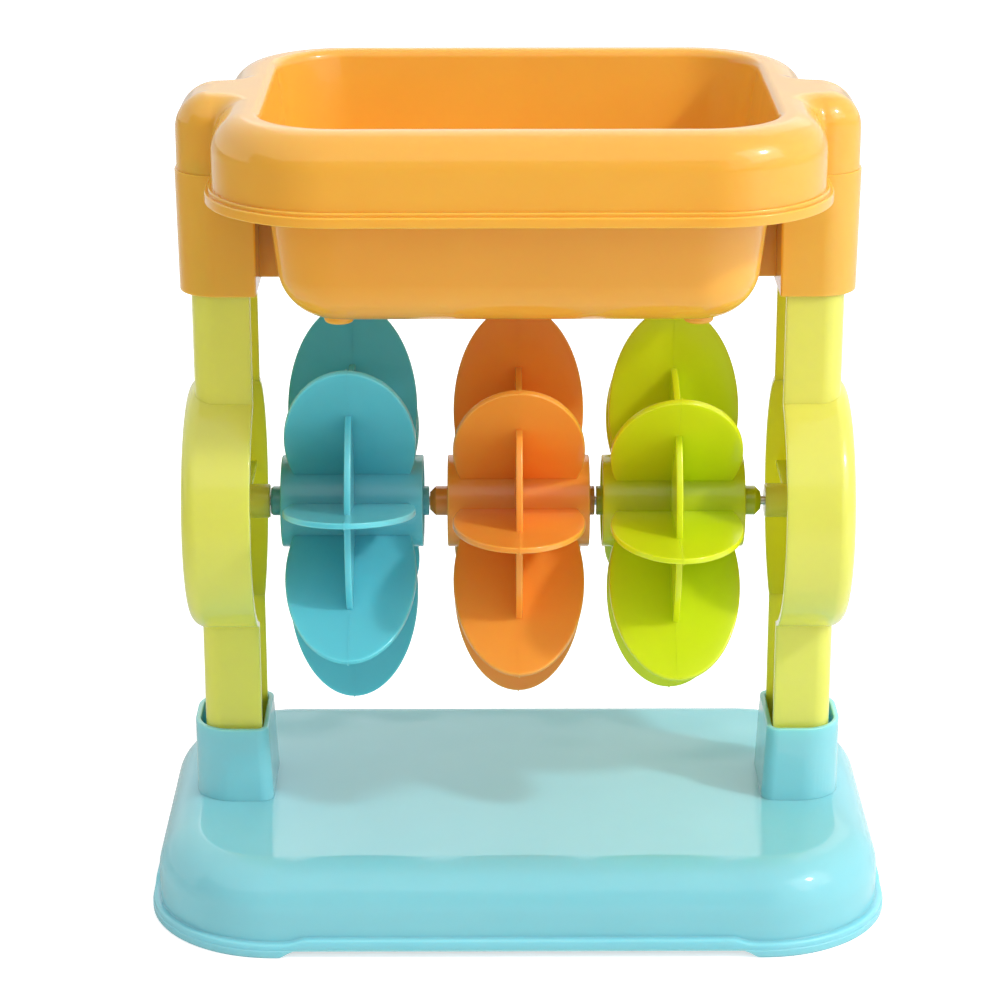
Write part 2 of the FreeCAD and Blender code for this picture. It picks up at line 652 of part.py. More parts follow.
def make_wheel(label, place, turn, low_collar, low_chamfer, high_collar, high_chamfer):
    """A paddle wheel about the X axis, then lifted to the axle and turned to its rest angle."""
    body = new_body(label)
    drum = draw_circle(new_sketch(body, "YZ_Plane"), "drum_radius")
    extrude(body, drum, "drum_length", symmetric=True)
    soften(body, "drum_round", lambda edge: edge.BoundBox.XLength < size("overrun") / 1000)
    disc = draw_circle(new_sketch(body, "YZ_Plane"), "disc_radius")
    extrude(body, disc, "disc_thickness", symmetric=True)

    outline = new_sketch(body, "XY_Plane")
    draw_petal(outline)
    blade = extrude(body, outline, "petal_thickness", symmetric=True)
    turn_pattern(body, [blade], BLADES)

    # the drum is cored from both ends down to the disc, which leaves the axle tube standing
    for side in ("half_drum", "-half_drum"):
        ring = new_sketch(body, "YZ_Plane", side)
        draw_circle(ring, "drum_bore_radius")
        extrude(body, ring, "recess_depth", cut=True, reverse=not side.startswith("-"))
    for side, collar, chamfer in (("half_drum", high_collar, high_chamfer),
                                  ("-half_drum", low_collar, low_chamfer)):
        sketch = new_sketch(body, "YZ_Plane")
        draw_circle(sketch, "tube_radius")
        tube = extrude(body, sketch, collar, reverse=side.startswith("-"))
        tube.setExpression("Length", f"Sizes.half_drum + Sizes.{collar}")
        doc.recompute()
        end = size("half_drum") + size(collar)
        end = -end if side.startswith("-") else end
        near = size("overrun") / 1000
        soften(body, chamfer, lambda edge: abs(edge.BoundBox.XMin - end) < near
               and abs(edge.BoundBox.XMax - end) < near, "Chamfer")
    bore = draw_circle(new_sketch(body, "YZ_Plane"), "tube_bore")
    hole = extrude(body, bore, "drum_length", cut=True, symmetric=True)
    hole.setExpression("Length", "2 * Sizes.drum_length")

    rotation = FreeCAD.Rotation(FreeCAD.Vector(1, 0, 0), -size(turn))
    body.Placement = FreeCAD.Placement(FreeCAD.Vector(), rotation)
    bind(body, "Placement.Rotation.Angle", "-" + turn)
    bind(body, "Placement.Base.x", place)
    bind(body, "Placement.Base.z", "axle_height")
    doc.recompute()
    return body


def draw_petal(sketch):
    """A blade's outline: one ellipse, longer along the radius, whose inner end is in the drum."""
    centre = FreeCAD.Vector(0, size("petal_centre"))
    tip = FreeCAD.Vector(0, size("petal_centre") + size("petal_reach"))
    side = FreeCAD.Vector(-size("petal_half_width"), size("petal_centre"))
    petal = sketch.addGeometry(Part.Ellipse(tip, side, centre))
    sketch.exposeInternalGeometry(petal)
    major, minor = petal + 1, petal + 2
    sketch.addConstraint(Sketcher.Constraint("PointOnObject", petal, 3, -2))
    sketch.addConstraint(Sketcher.Constraint("Vertical", major))
    limit(sketch, "DistanceY", (-1, 1), (petal, 3), "petal_centre")
    for line, alias in ((major, "petal_reach"), (minor, "petal_half_width")):
        index = sketch.addConstraint(Sketcher.Constraint("Distance", line, 2 * size(alias)))
        sketch.setExpression(f"Constraints[{index}]", f"2 * Sizes.{alias}")


def make_rim():
    """The hopper's rim: a rounded skirt, hollow beneath, with the stepped lip at its lower edge."""
    body = new_body("rim_form")
    for half_width, half_depth, corner, height in (
            ("flange_half_width", "flange_half_depth", "flange_corner", "flange_height"),
            ("ledge_half_width", "ledge_half_depth", "ledge_corner", "ledge_height"),
            ("rim_half_width", "rim_half_depth", "rim_corner", "rim_height")):
        plan = draw_plan(new_sketch(body, "XY_Plane", "flange_bottom"), "-" + half_width, half_width,
                         half_depth, corner, corner)
        extrude(body, plan, height)
    soften(body, "rim_round", lies_at("Z", "rim_top"))
    hollow = new_body("rim_hollow")
    plan = draw_plan(new_sketch(hollow, "XY_Plane", "flange_bottom"), "-skirt_half_width",
                     "skirt_half_width", "skirt_half_depth", "skirt_corner", "skirt_corner")
    extrude(hollow, plan, "skirt_height")
    soften(hollow, "skirt_round", lies_at("Z", "skirt_top"))
    return remove("rim_shell", body, hollow)


def make_tub(label, half_width, half_depth, corner, depth, bottom, rounding):
    """A tub that draws in from the rim down to its floor, rounded where the walls meet the floor."""
    body = new_body(label)
    mouth = draw_plan(new_sketch(body, "XY_Plane", "rim_top"), "-" + half_width, half_width,
                      half_depth, corner, corner)
    pad = extrude(body, mouth, depth, reverse=True)
    pad.setExpression("TaperAngle", "-Sizes.tub_draft")
    doc.recompute()
    soften(body, rounding, lies_at("Z", bottom))
    return body


def make_shoulder(label, inner, outer, half_depth, corner, height, top, end_round, side_round):
    """A block with a rounded outer end, whose top edge is rounded more at the end than along."""
    body = new_body(label + "_block")
    plan = draw_plan(new_sketch(body, "XY_Plane", "sleeve_top"), inner, outer, half_depth,
                     "sleeve_inner_corner", corner)
    extrude(body, plan, height)
    at_top = lies_at("Z", top)
    near = size("overrun") / 1000
    inner_side = size(inner) + size("sleeve_inner_corner") + near
    corner_start = size(outer) - size(corner) + near

    def radii(edge):
        if not at_top(edge) or edge.BoundBox.XMax <= inner_side:
            return None
        ends = [vertex.Point.x for vertex in (edge.Vertexes[0], edge.Vertexes[-1])]
        return [size(end_round) if x > corner_start else size(side_round) for x in ends]

    return round_edges(label, body, radii)


def make_sleeve():
    """The right sleeve with its web to the tub, below the shoulder."""
    body = new_body("sleeve_form")
    plan = draw_plan(new_sketch(body, "XY_Plane", "sleeve_bottom"), "sleeve_inner", "sleeve_outer",
                     "sleeve_half_depth", "sleeve_inner_corner", "sleeve_outer_corner")
    extrude(body, plan, "sleeve_height")
    corners = [("web_start", "-web_half_thickness"), ("web_end", "-web_half_thickness"),
               ("web_end", "web_half_thickness"), ("web_start", "web_half_thickness")]
    web = draw_corners(new_sketch(body, "XY_Plane", "web_bottom"), corners)
    extrude(body, web, "web_height")
    return body


def make_leg_space():
    """The space that the right leg's top fills, as deep as the leg goes."""
    body = new_body("leg_space")
    plan = draw_plan(new_sketch(body, "XY_Plane", "sleeve_bottom"), "sleeve_cut_inner",
                     "sleeve_cut_outer", "sleeve_cut_half_depth", "sleeve_cut_inner_corner",
                     "sleeve_cut_corner")
    extrude(body, plan, "sleeve_cut_height")
    return body


def make_stop():
    """The rib inside the right shoulder that comes to rest on the leg's closed top."""
    body = new_body("stop")
    corners = [("stop_start", "-web_half_thickness"), ("stop_end", "-web_half_thickness"),
               ("stop_end", "web_half_thickness"), ("stop_start", "web_half_thickness")]
    plate = draw_corners(new_sketch(body, "XY_Plane", "leg_top"), corners)
    extrude(body, plate, "stop_height")
    return body


def make_outlets():
    """The slots through the tub's floor, one over each wheel, set towards the front."""
    slots = []
    for place in ("left_wheel_x", "middle_wheel_x", "right_wheel_x"):
        body = new_body("outlet_" + place.split("_")[0])
        plan = draw_plan(new_sketch(body, "XY_Plane"), "-outlet_half_length", "outlet_half_length",
                         "outlet_half_width", "outlet_corner", "outlet_corner")
        extrude(body, plan, "outlet_depth")
        bind(body, "Placement.Base.x", place)
        bind(body, "Placement.Base.y", "-outlet_setback")
        bind(body, "Placement.Base.z", "outlet_bottom")
        slots.append(body)
    return slots


def make_feet():
    """The four small round feet under the tub."""
    body = new_body("foot_form")
    for x in ("tub_foot_x", "-tub_foot_x"):
        for y in ("tub_foot_y", "-tub_foot_y"):
            foot = draw_circle(new_sketch(body, "XY_Plane", "tub_foot_bottom"), "tub_foot_radius", x, y)
            extrude(body, foot, "tub_foot_length")
    return body


def mouth_radii(edge):
    """The rounding of an edge where the bowl's walls meet the top of the rim, None elsewhere."""
    near = size("overrun") / 1000
    box = edge.BoundBox
    within_width = max(-box.XMin, box.XMax) < size("bowl_half_width") + near
    within_depth = max(-box.YMin, box.YMax) < size("bowl_half_depth") + near
    if lies_at("Z", "rim_top")(edge) and within_width and within_depth:
        return [size("mouth_round")] * 2
    return None


def make_hopper():
    """Rim, tub, shoulders, sleeves, webs and feet in one moulding, with its spaces cut out."""
    tub = make_tub("tub_form", "tub_half_width", "tub_half_depth", "tub_corner", "tub_depth",
                   "tub_bottom", "tub_round")
    bowl = make_tub("bowl_form", "bowl_half_width", "bowl_half_depth", "bowl_corner", "bowl_depth",
                    "bowl_bottom", "bowl_round")
    shoulder = make_shoulder("shoulder", "shoulder_inner", "shoulder_outer", "shoulder_half_depth",
                             "shoulder_corner", "shoulder_height", "rim_top", "shoulder_end_round",
                             "shoulder_side_round")
    hollow = make_shoulder("shoulder_hollow", "sleeve_cut_inner", "hollow_shoulder_outer",
                           "hollow_shoulder_half_depth", "hollow_shoulder_corner",
                           "hollow_shoulder_height", "skirt_top", "hollow_end_round",
                           "hollow_side_round")
    sleeve = make_sleeve()
    space = make_leg_space()
    stop = make_stop()
    outer = join("hopper_outside", [make_rim(), tub, shoulder, across(shoulder, "left_shoulder"),
                                    sleeve, across(sleeve, "left_sleeve"), make_feet()])
    inner = join("hopper_inside", [bowl, space, across(space, "left_leg_space"), hollow,
                                   across(hollow, "left_shoulder_hollow")] + make_outlets())
    shell = remove("hopper_shell", outer, inner)
    whole = join("hopper_whole", [shell, stop, across(stop, "left_stop")])
    return round_edges("hopper", whole, mouth_radii)


right_leg = make_leg()
pieces = [
    make_base(),
    across(right_leg, "left_leg"),
    right_leg,
    make_axle(),
    make_wheel("left_wheel", "left_wheel_x", "left_wheel_turn",
               "end_collar", "end_collar_chamfer", "short_collar", "short_collar_chamfer"),
    make_wheel("middle_wheel", "middle_wheel_x", "middle_wheel_turn",
               "long_collar", "long_collar_chamfer", "short_collar", "short_collar_chamfer"),
    make_wheel("right_wheel", "right_wheel_x", "right_wheel_turn",
               "short_collar", "short_collar_chamfer", "long_collar", "long_collar_chamfer"),
    make_hopper(),
]
doc.recompute()

for item in doc.Objects:
    if "Invalid" in item.State or "Error" in item.State:
        raise RuntimeError(f"{item.Label} failed to build")
for piece in pieces:
    shape = piece.Shape
    if shape.isNull() or not shape.isValid() or len(shape.Solids) != 1:
        raise RuntimeError(f"{piece.Label} is not one valid solid")
for piece in pieces:
    piece.Shape.exportStep(f"parts/{piece.Label}.step")
    box = piece.Shape.BoundBox
    print(f"{piece.Label}: {piece.Shape.Volume / 1000:.1f} cm3, "
          f"{box.XLength:.1f} x {box.YLength:.1f} x {box.ZLength:.1f} mm")
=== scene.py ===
import logging
import math
from dataclasses import dataclass
from enum import Enum, IntEnum
from typing import Iterable, Sequence

import bpy
import numpy as np
from mathutils import Euler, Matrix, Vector


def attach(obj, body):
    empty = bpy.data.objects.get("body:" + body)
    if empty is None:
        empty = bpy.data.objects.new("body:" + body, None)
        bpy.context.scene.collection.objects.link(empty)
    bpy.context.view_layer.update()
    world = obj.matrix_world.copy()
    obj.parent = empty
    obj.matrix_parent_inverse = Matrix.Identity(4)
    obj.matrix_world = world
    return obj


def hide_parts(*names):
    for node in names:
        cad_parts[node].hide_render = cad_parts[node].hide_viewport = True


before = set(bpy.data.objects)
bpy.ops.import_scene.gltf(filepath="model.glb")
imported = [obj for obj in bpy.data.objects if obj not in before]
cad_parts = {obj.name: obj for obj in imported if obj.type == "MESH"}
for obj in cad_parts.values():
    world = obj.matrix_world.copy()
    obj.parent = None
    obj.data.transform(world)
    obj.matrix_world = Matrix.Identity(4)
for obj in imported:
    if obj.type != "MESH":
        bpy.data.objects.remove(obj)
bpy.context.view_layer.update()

LOG = logging.getLogger("sand_wheel")
MM = 0.001

AXLE_HEIGHT = 127.73  # of the axle's line over the table, in mm
LEG_TOP = 244.0  # where a leg ends inside the hopper's sleeve, in mm
WHEELS_X = (-53.6, 0.25, 50.4)  # the wheels' places on the axle, in mm
OVERRUN = 1.0  # how far a form runs past the wall that it cuts or joins, in mm
SHARP_ANGLE = 32.0  # between two faces, in degrees, from where their edge stays sharp
FACE_WEIGHT = 100  # large flat faces decide the shading at their edges


class Op(Enum):
    """What a tool mesh does to the moulding it is used on."""

    ADD = "UNION"
    CUT = "DIFFERENCE"


class Side(Enum):
    """The two ends of the toy, as the sign of X."""

    LEFT = -1
    RIGHT = 1


class Collar(Enum):
    """The ends of a wheel's tube past its drum, as length and bevel in mm."""

    LONG = (5.8, 1.9)
    END = (3.7, 0.6)
    SHORT = (1.8, 0.3)


class Fineness(IntEnum):
    """How many points a round form has, by its size."""

    DISC = 144
    RIM = 96
    RECESS = 72
    TUBE = 48
    BORE = 32


# --------------------------------------------------------------------------- profiles and surfaces


def arc(inset: float, height: float, radius: float, start: float, stop: float, steps: int = 8) -> np.ndarray:
    """A rounding in a section: inset = centre - radius cos a, height = centre + radius sin a.

    Args:
        inset: How far inside the outline the rounding's centre lies, in mm.
        height: Height of the centre, in mm.
        radius: Radius in mm.
        start: First angle in degrees, where 0 faces outwards and 90 upwards.
        stop: Last angle in degrees.
        steps: Number of steps between them.

    Returns:
        Rows of inset and height.
    """
    angle = np.radians(np.linspace(start, stop, steps + 1))
    return np.stack([inset - radius * np.cos(angle), height + radius * np.sin(angle)], axis=1)


def hollow_arc(inset: float, height: float, radius: float, start: float, stop: float,
               steps: int = 8) -> np.ndarray:
    """A rounding that curves the other way: inset = centre + radius cos a, height = centre - radius sin a.

    Args:
        inset: How far inside the outline the rounding's centre lies, in mm.
        height: Height of the centre, in mm.
        radius: Radius in mm.
        start: First angle in degrees, where 0 faces inwards and 90 downwards.
        stop: Last angle in degrees.
        steps: Number of steps between them.

    Returns:
        Rows of inset and height.
    """
    angle = np.radians(np.linspace(start, stop, steps + 1))
    return np.stack([inset + radius * np.cos(angle), height - radius * np.sin(angle)], axis=1)


def arc_lead(start: float, radius: float, edge: float, steps: int = 4) -> np.ndarray:
    """The rounded rim where a turned form begins: x = start + e (1 - sin a), radius = r - e (1 - cos a).

    Args:
        start: Where the form begins along X, in mm.
        radius: Radius of the form, in mm.
        edge: Radius of its rim, e, in mm.
        steps: Number of steps round the rim.

    Returns:
        Rows of x and radius.
    """
    angle = np.radians(np.linspace(0, 90, steps + 1))
    return np.stack([start + edge * (1 - np.sin(angle)), radius - edge * (1 - np.cos(angle))], axis=1)[::-1]


def bevelled(low: float, high: float, radius: float, low_bevel: float, high_bevel: float) -> np.ndarray:
    """A bar's section between two places on X, its ends bevelled at 45 degrees: rows of x and radius."""
    return np.array([(low, radius - low_bevel), (low + low_bevel, radius),
                     (high - high_bevel, radius), (high, radius - high_bevel)])


def eased(value: np.ndarray, start: float, stop: float) -> np.ndarray:
    """A smooth step from 0 to 1 between two places: 3 t^2 - 2 t^3."""
    t = np.clip((value - start) / (stop - start), 0, 1)
    return t * t * (3 - 2 * t)


def section(*parts: Sequence) -> np.ndarray:
    """Joins points and roundings into one section, as rows of inset and height."""
    return np.vstack([np.atleast_2d(np.asarray(part, float)) for part in parts])


@dataclass(frozen=True)
class Plan:
    """A rounded rectangle seen from above, even about the X axis, in mm."""

    low: float
    high: float
    half_depth: float
    low_corner: float
    high_corner: float
    arc_steps: int = 14
    line_step: float = 0.0

    def outline(self) -> tuple[np.ndarray, np.ndarray]:
        """The outline and its outward normals.

        Returns:
            Points and unit normals: each corner is centre + radius (cos a, sin a) over a quarter turn.
            The lines between them are divided into steps of about line_step, when that isn't 0.
        """
        corners = (
            (self.high, -1, self.high_corner, -90),
            (self.high, 1, self.high_corner, 0),
            (self.low, 1, self.low_corner, 90),
            (self.low, -1, self.low_corner, 180),
        )
        points, normals = [], []
        for x, side, radius, start in corners:
            angle = np.radians(np.linspace(start, start + 90, self.arc_steps + 1))
            normal = np.stack([np.cos(angle), np.sin(angle)], axis=1)
            inward = radius if x == self.low else -radius
            centre = np.array([x + inward, side * (self.half_depth - radius)])
            points.append(centre + radius * normal)
            normals.append(normal)
        if self.line_step:
            for index in range(4):
                start, stop = points[index][-1], points[(index + 1) % 4][0]
                count = max(2, round(np.linalg.norm(stop - start) / self.line_step))
                share = np.linspace(0, 1, count, endpoint=False)[1:, None]
                along = np.repeat(normals[index][-1:], count - 1, axis=0)
                points[index] = np.vstack([points[index], start + share * (stop - start)])
                normals[index] = np.vstack([normals[index], along])
        return np.vstack(points), np.vstack(normals)

    def rise(self, profile: np.ndarray) -> np.ndarray:
        """Carries a section round the outline: point = outline - inset x normal, at the section's height."""
        points, normals = self.outline()
        flat = points[None] - profile[:, :1, None] * normals[None]
        height = np.broadcast_to(profile[:, 1, None, None], flat.shape[:2] + (1,))
        return np.concatenate([flat, height], axis=2)


def turned(profile: np.ndarray, height: float, steps: int) -> np.ndarray:
    """Turns a section about a line along X: point = (x, r cos a, height + r sin a).

    Args:
        profile: Rows of x and radius, in mm.
        height: Height of the line, in mm.
        steps: Number of points round it.

    Returns:
        A stack of rings, as solid() takes it.
    """
    angle = np.linspace(0, 2 * math.pi, steps, endpoint=False)
    x = np.broadcast_to(profile[:, :1], (len(profile), steps))
    return np.stack([x, profile[:, 1:] * np.cos(angle), height + profile[:, 1:] * np.sin(angle)], axis=2)


def rod(low: float, high: float, radius: float, height: float, steps: int) -> np.ndarray:
    """A plain round bar between two places on X, in mm."""
    return turned(np.array([(low, radius), (high, radius)]), height, steps)


def prism(corners: np.ndarray, axis: int, low: float, high: float) -> np.ndarray:
    """Carries a flat outline along one axis, from low to high, in mm."""
    flat = np.stack([corners, corners])
    along = np.broadcast_to(np.array([low, high])[:, None, None], flat.shape[:2] + (1,))
    return np.concatenate([flat[..., :axis], along, flat[..., axis:]], axis=2)


def slab(low: Sequence[float], high: Sequence[float]) -> np.ndarray:
    """A plain block between two corners, in mm."""
    (x0, y0, z0), (x1, y1, z1) = low, high
    return prism(np.array([(x0, y0), (x1, y0), (x1, y1), (x0, y1)], float), 2, z0, z1)


def mirrored(rings: np.ndarray, side: Side) -> np.ndarray:
    """The same stack on the other end of the toy when the side asks for it."""
    return rings * np.array([side.value, 1, 1])


def spun(rings: np.ndarray, degrees: float, x: float, height: float) -> np.ndarray:
    """Turns a stack about the X axis by the right-hand rule, then moves it to a place on the axle."""
    angle = math.radians(degrees)
    cos, sin = math.cos(angle), math.sin(angle)
    return rings @ np.array([[1, 0, 0], [0, cos, -sin], [0, sin, cos]]).T + np.array([x, 0, height])


def place_mesh(name: str, points: Sequence, faces: Sequence) -> bpy.types.Object:
    """Puts points, in metres, and faces into an object at the origin."""
    mesh = bpy.data.meshes.new(name)
    mesh.from_pydata(points, [], faces)
    mesh.update()
    thing = bpy.data.objects.new(name, mesh)
    bpy.context.scene.collection.objects.link(thing)
    return thing


def solid(name: str, rings: np.ndarray) -> bpy.types.Object:
    """Makes a closed mesh from a stack of rings, with its faces turned outwards.

    Args:
        name: Name of the object.
        rings: Array of (ring, point, xyz) in mm. The first and last rings are capped.

    Returns:
        The object, at the origin, in metres.
    """
    count, around = rings.shape[:2]
    grid = np.arange(count * around).reshape(count, around)
    ahead = np.roll(grid, -1, axis=1)
    quads = np.stack([grid[:-1], ahead[:-1], ahead[1:], grid[1:]], axis=2).reshape(-1, 4)
    points = rings.reshape(-1, 3) * MM
    # the volume under each quad and cap, summed, is negative when the faces point inwards
    a, b, c, d = (points[quads[:, corner]] for corner in range(4))
    first, last = points[grid[0]], points[grid[-1]]
    volume = np.einsum("ij,ij->", a, np.cross(b, c)) + np.einsum("ij,ij->", a, np.cross(c, d))
    volume += np.einsum("j,ij->", last[0], np.cross(last[1:-1], last[2:]))
    volume -= np.einsum("j,ij->", first[0], np.cross(first[1:-1], first[2:]))
    faces = quads.tolist() + [grid[-1].tolist(), grid[0][::-1].tolist()]
    if volume < 0:
        faces = [face[::-1] for face in faces]
    return place_mesh(name, points.tolist(), faces)


def shape(thing: bpy.types.Object, op: Op, stacks: Iterable[np.ndarray]) -> None:
    """Adds or cuts closed forms, and leaves one clean mesh.

    Args:
        thing: The moulding so far.
        op: Whether the forms are added or cut away.
        stacks: Stacks of rings, as solid() takes them.
    """
    tools = [solid("tool", rings) for rings in stacks]
    for tool in tools:
        step = thing.modifiers.new("step", "BOOLEAN")
        step.operation = op.value
        step.solver = "MANIFOLD"
        step.object = tool
    shaped = thing.evaluated_get(bpy.context.evaluated_depsgraph_get())
    baked = bpy.data.meshes.new_from_object(shaped)
    thing.modifiers.clear()
    old, thing.data = thing.data, baked
    bpy.data.meshes.remove(old)
    for tool in tools:
        form = tool.data
        bpy.data.objects.remove(tool)
        bpy.data.meshes.remove(form)


# --------------------------------------------------------------------------------------- finishes


def linear(hex_colour: str) -> tuple[float, float, float, float]:
    """An sRGB hex colour as linear red, green, blue and alpha."""
    levels = np.array([int(hex_colour[i:i + 2], 16) / 255 for i in (1, 3, 5)])
    out = np.where(levels <= 0.04045, levels / 12.92, ((levels + 0.055) / 1.055) ** 2.4)
    return (*map(float, out), 1.0)


def add(tree: bpy.types.NodeTree, kind: str, settings: dict | None = None, **links) -> bpy.types.Node:
    """Adds a node with its settings, and links or sets its inputs.

    Args:
        tree: The node tree.
        kind: The node's type name.
        settings: Attributes of the node itself.
        **links: Input name, with _ for a space, or _ and its number, to a socket to link or a value to set.

    Returns:
        The node.
    """
    node = tree.nodes.new(kind)
    for key, value in (settings or {}).items():
        setattr(node, key, value)
    for key, value in links.items():
        socket = node.inputs[int(key[1:])] if key[0] == "_" else node.inputs[key.replace("_", " ")]
        if isinstance(value, bpy.types.NodeSocket):
            tree.links.new(value, socket)
        else:
            socket.default_value = value
    return node


def empty_material(name: str) -> tuple[bpy.types.Material, bpy.types.NodeTree]:
    """A material and its node tree, which is still empty."""
    material = bpy.data.materials.new(name)
    material.use_nodes = True
    material.node_tree.nodes.clear()
    return material, material.node_tree


@dataclass(frozen=True)
class MouldedPlastic:
    """Injection-moulded polypropylene: waxy, a little see-through, glossy with a soft ripple.

    The resin passes some light, so walls glow from within and shadows on it are filled with its own
    colour. The tool's polish gives a clear but slightly wavy reflection, and the wax in the resin a
    broad pale sheen round each highlight. Distances are in mm, and spread is the share of the reach
    that red, green and blue light have.
    """

    name: str
    colour: str
    deep: str
    reach: float
    spread: tuple[float, float, float]
    roughness: float
    sheen: float
    ripple_pitch: float = 18.0
    ripple_depth: float = 0.5
    cloud_pitch: float = 30.0
    rub_pitch: float = 12.0
    rub_dulling: float = 0.04
    sheen_roughness: float = 0.35
    refraction: float = 1.49

    def make(self) -> bpy.types.Material:
        """Builds the node tree from the finish's values."""
        material, tree = empty_material(self.name)
        place = add(tree, "ShaderNodeTexCoord").outputs["Object"]
        # pigment that isn't quite evenly spread, in broad clouds
        cloud = add(tree, "ShaderNodeTexNoise", Vector=place, Scale=1 / (self.cloud_pitch * MM), Detail=2.0)
        share = add(tree, "ShaderNodeMapRange", Value=cloud.outputs["Fac"], From_Min=0.3, From_Max=0.7,
                    To_Max=0.35)
        tint = add(tree, "ShaderNodeMix", {"data_type": "RGBA"}, Factor=share.outputs["Result"],
                   _6=linear(self.colour), _7=linear(self.deep))
        # handling, in patches, that dulls the gloss here and there
        rub = add(tree, "ShaderNodeTexNoise", Vector=place, Scale=1 / (self.rub_pitch * MM), Detail=1.0)
        dull = add(tree, "ShaderNodeMapRange", Value=rub.outputs["Fac"], From_Min=0.2, From_Max=0.8,
                   To_Min=self.roughness, To_Max=self.roughness + self.rub_dulling)
        # the slow ripple of a wall that sank a little as it cooled
        wave = add(tree, "ShaderNodeTexNoise", Vector=place, Scale=1 / (self.ripple_pitch * MM), Detail=1.0)
        ripple = add(tree, "ShaderNodeBump", Height=wave.outputs["Fac"], Distance=self.ripple_depth * MM,
                     Strength=0.35).outputs["Normal"]
        surface = add(
            tree, "ShaderNodeBsdfPrincipled", Base_Color=tint.outputs[2], Roughness=dull.outputs["Result"],
            IOR=self.refraction, Specular_IOR_Level=0.45, Subsurface_Weight=1.0,
            Subsurface_Scale=self.reach * MM, Subsurface_Radius=self.spread, Coat_Weight=self.sheen,
            Coat_Roughness=self.sheen_roughness, Coat_IOR=self.refraction, Normal=ripple, Coat_Normal=ripple)
        add(tree, "ShaderNodeOutputMaterial", Surface=surface.outputs["BSDF"])
        return material


@dataclass(frozen=True)
class DrawnSteel:
    """Bright drawn steel wire: fine marks run along it, and it mirrors the plastic beside it."""

    name: str
    colour: str = "#c9c8c4"
    mark_width: float = 0.3
    mark_depth: float = 0.02
    mark_stretch: float = 20.0

    def make(self) -> bpy.types.Material:
        """Builds the node tree from the finish's values."""
        material, tree = empty_material(self.name)
        place = add(tree, "ShaderNodeTexCoord").outputs["Object"]
        # the die's marks, drawn out along X
        along = add(tree, "ShaderNodeMapping", Vector=place, Scale=(1 / self.mark_stretch, 1.0, 1.0))
        mark = add(tree, "ShaderNodeTexNoise", Vector=along.outputs["Vector"],
                   Scale=1 / (self.mark_width * MM), Detail=3.0)
        rough = add(tree, "ShaderNodeMapRange", Value=mark.outputs["Fac"], To_Min=0.18, To_Max=0.4)
        score = add(tree, "ShaderNodeBump", Height=mark.outputs["Fac"], Distance=self.mark_depth * MM,
                    Strength=0.5)
        surface = add(tree, "ShaderNodeBsdfPrincipled", Base_Color=linear(self.colour), Metallic=1.0,
                      Roughness=rough.outputs["Result"], Normal=score.outputs["Normal"])
        add(tree, "ShaderNodeOutputMaterial", Surface=surface.outputs["BSDF"])
        return material


# ----------------------------------------------------------------------------------------- pieces


def dress(thing: bpy.types.Object, body: str, node: str, slot: str, material: bpy.types.Material) -> None:
    """Finishes a piece: smooth faces with sharp edges, its material, its body and its node.

    Args:
        thing: The piece.
        body: The body that it rides on.
        node: The CAD node that it stands for.
        slot: Its material slot in the record; not used.
        material: Its finish.
    """
    mesh = thing.data
    mesh.materials.clear()
    mesh.materials.append(material)
    mesh.shade_smooth()
    mesh.set_sharp_from_angle(angle=math.radians(SHARP_ANGLE))
    weighted = thing.modifiers.new("even_shading", "WEIGHTED_NORMAL")
    weighted.keep_sharp = True
    weighted.weight = FACE_WEIGHT
    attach(thing, body)
    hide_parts(node)
    LOG.info("%s: %d faces on %s", thing.name, len(mesh.polygons), body)


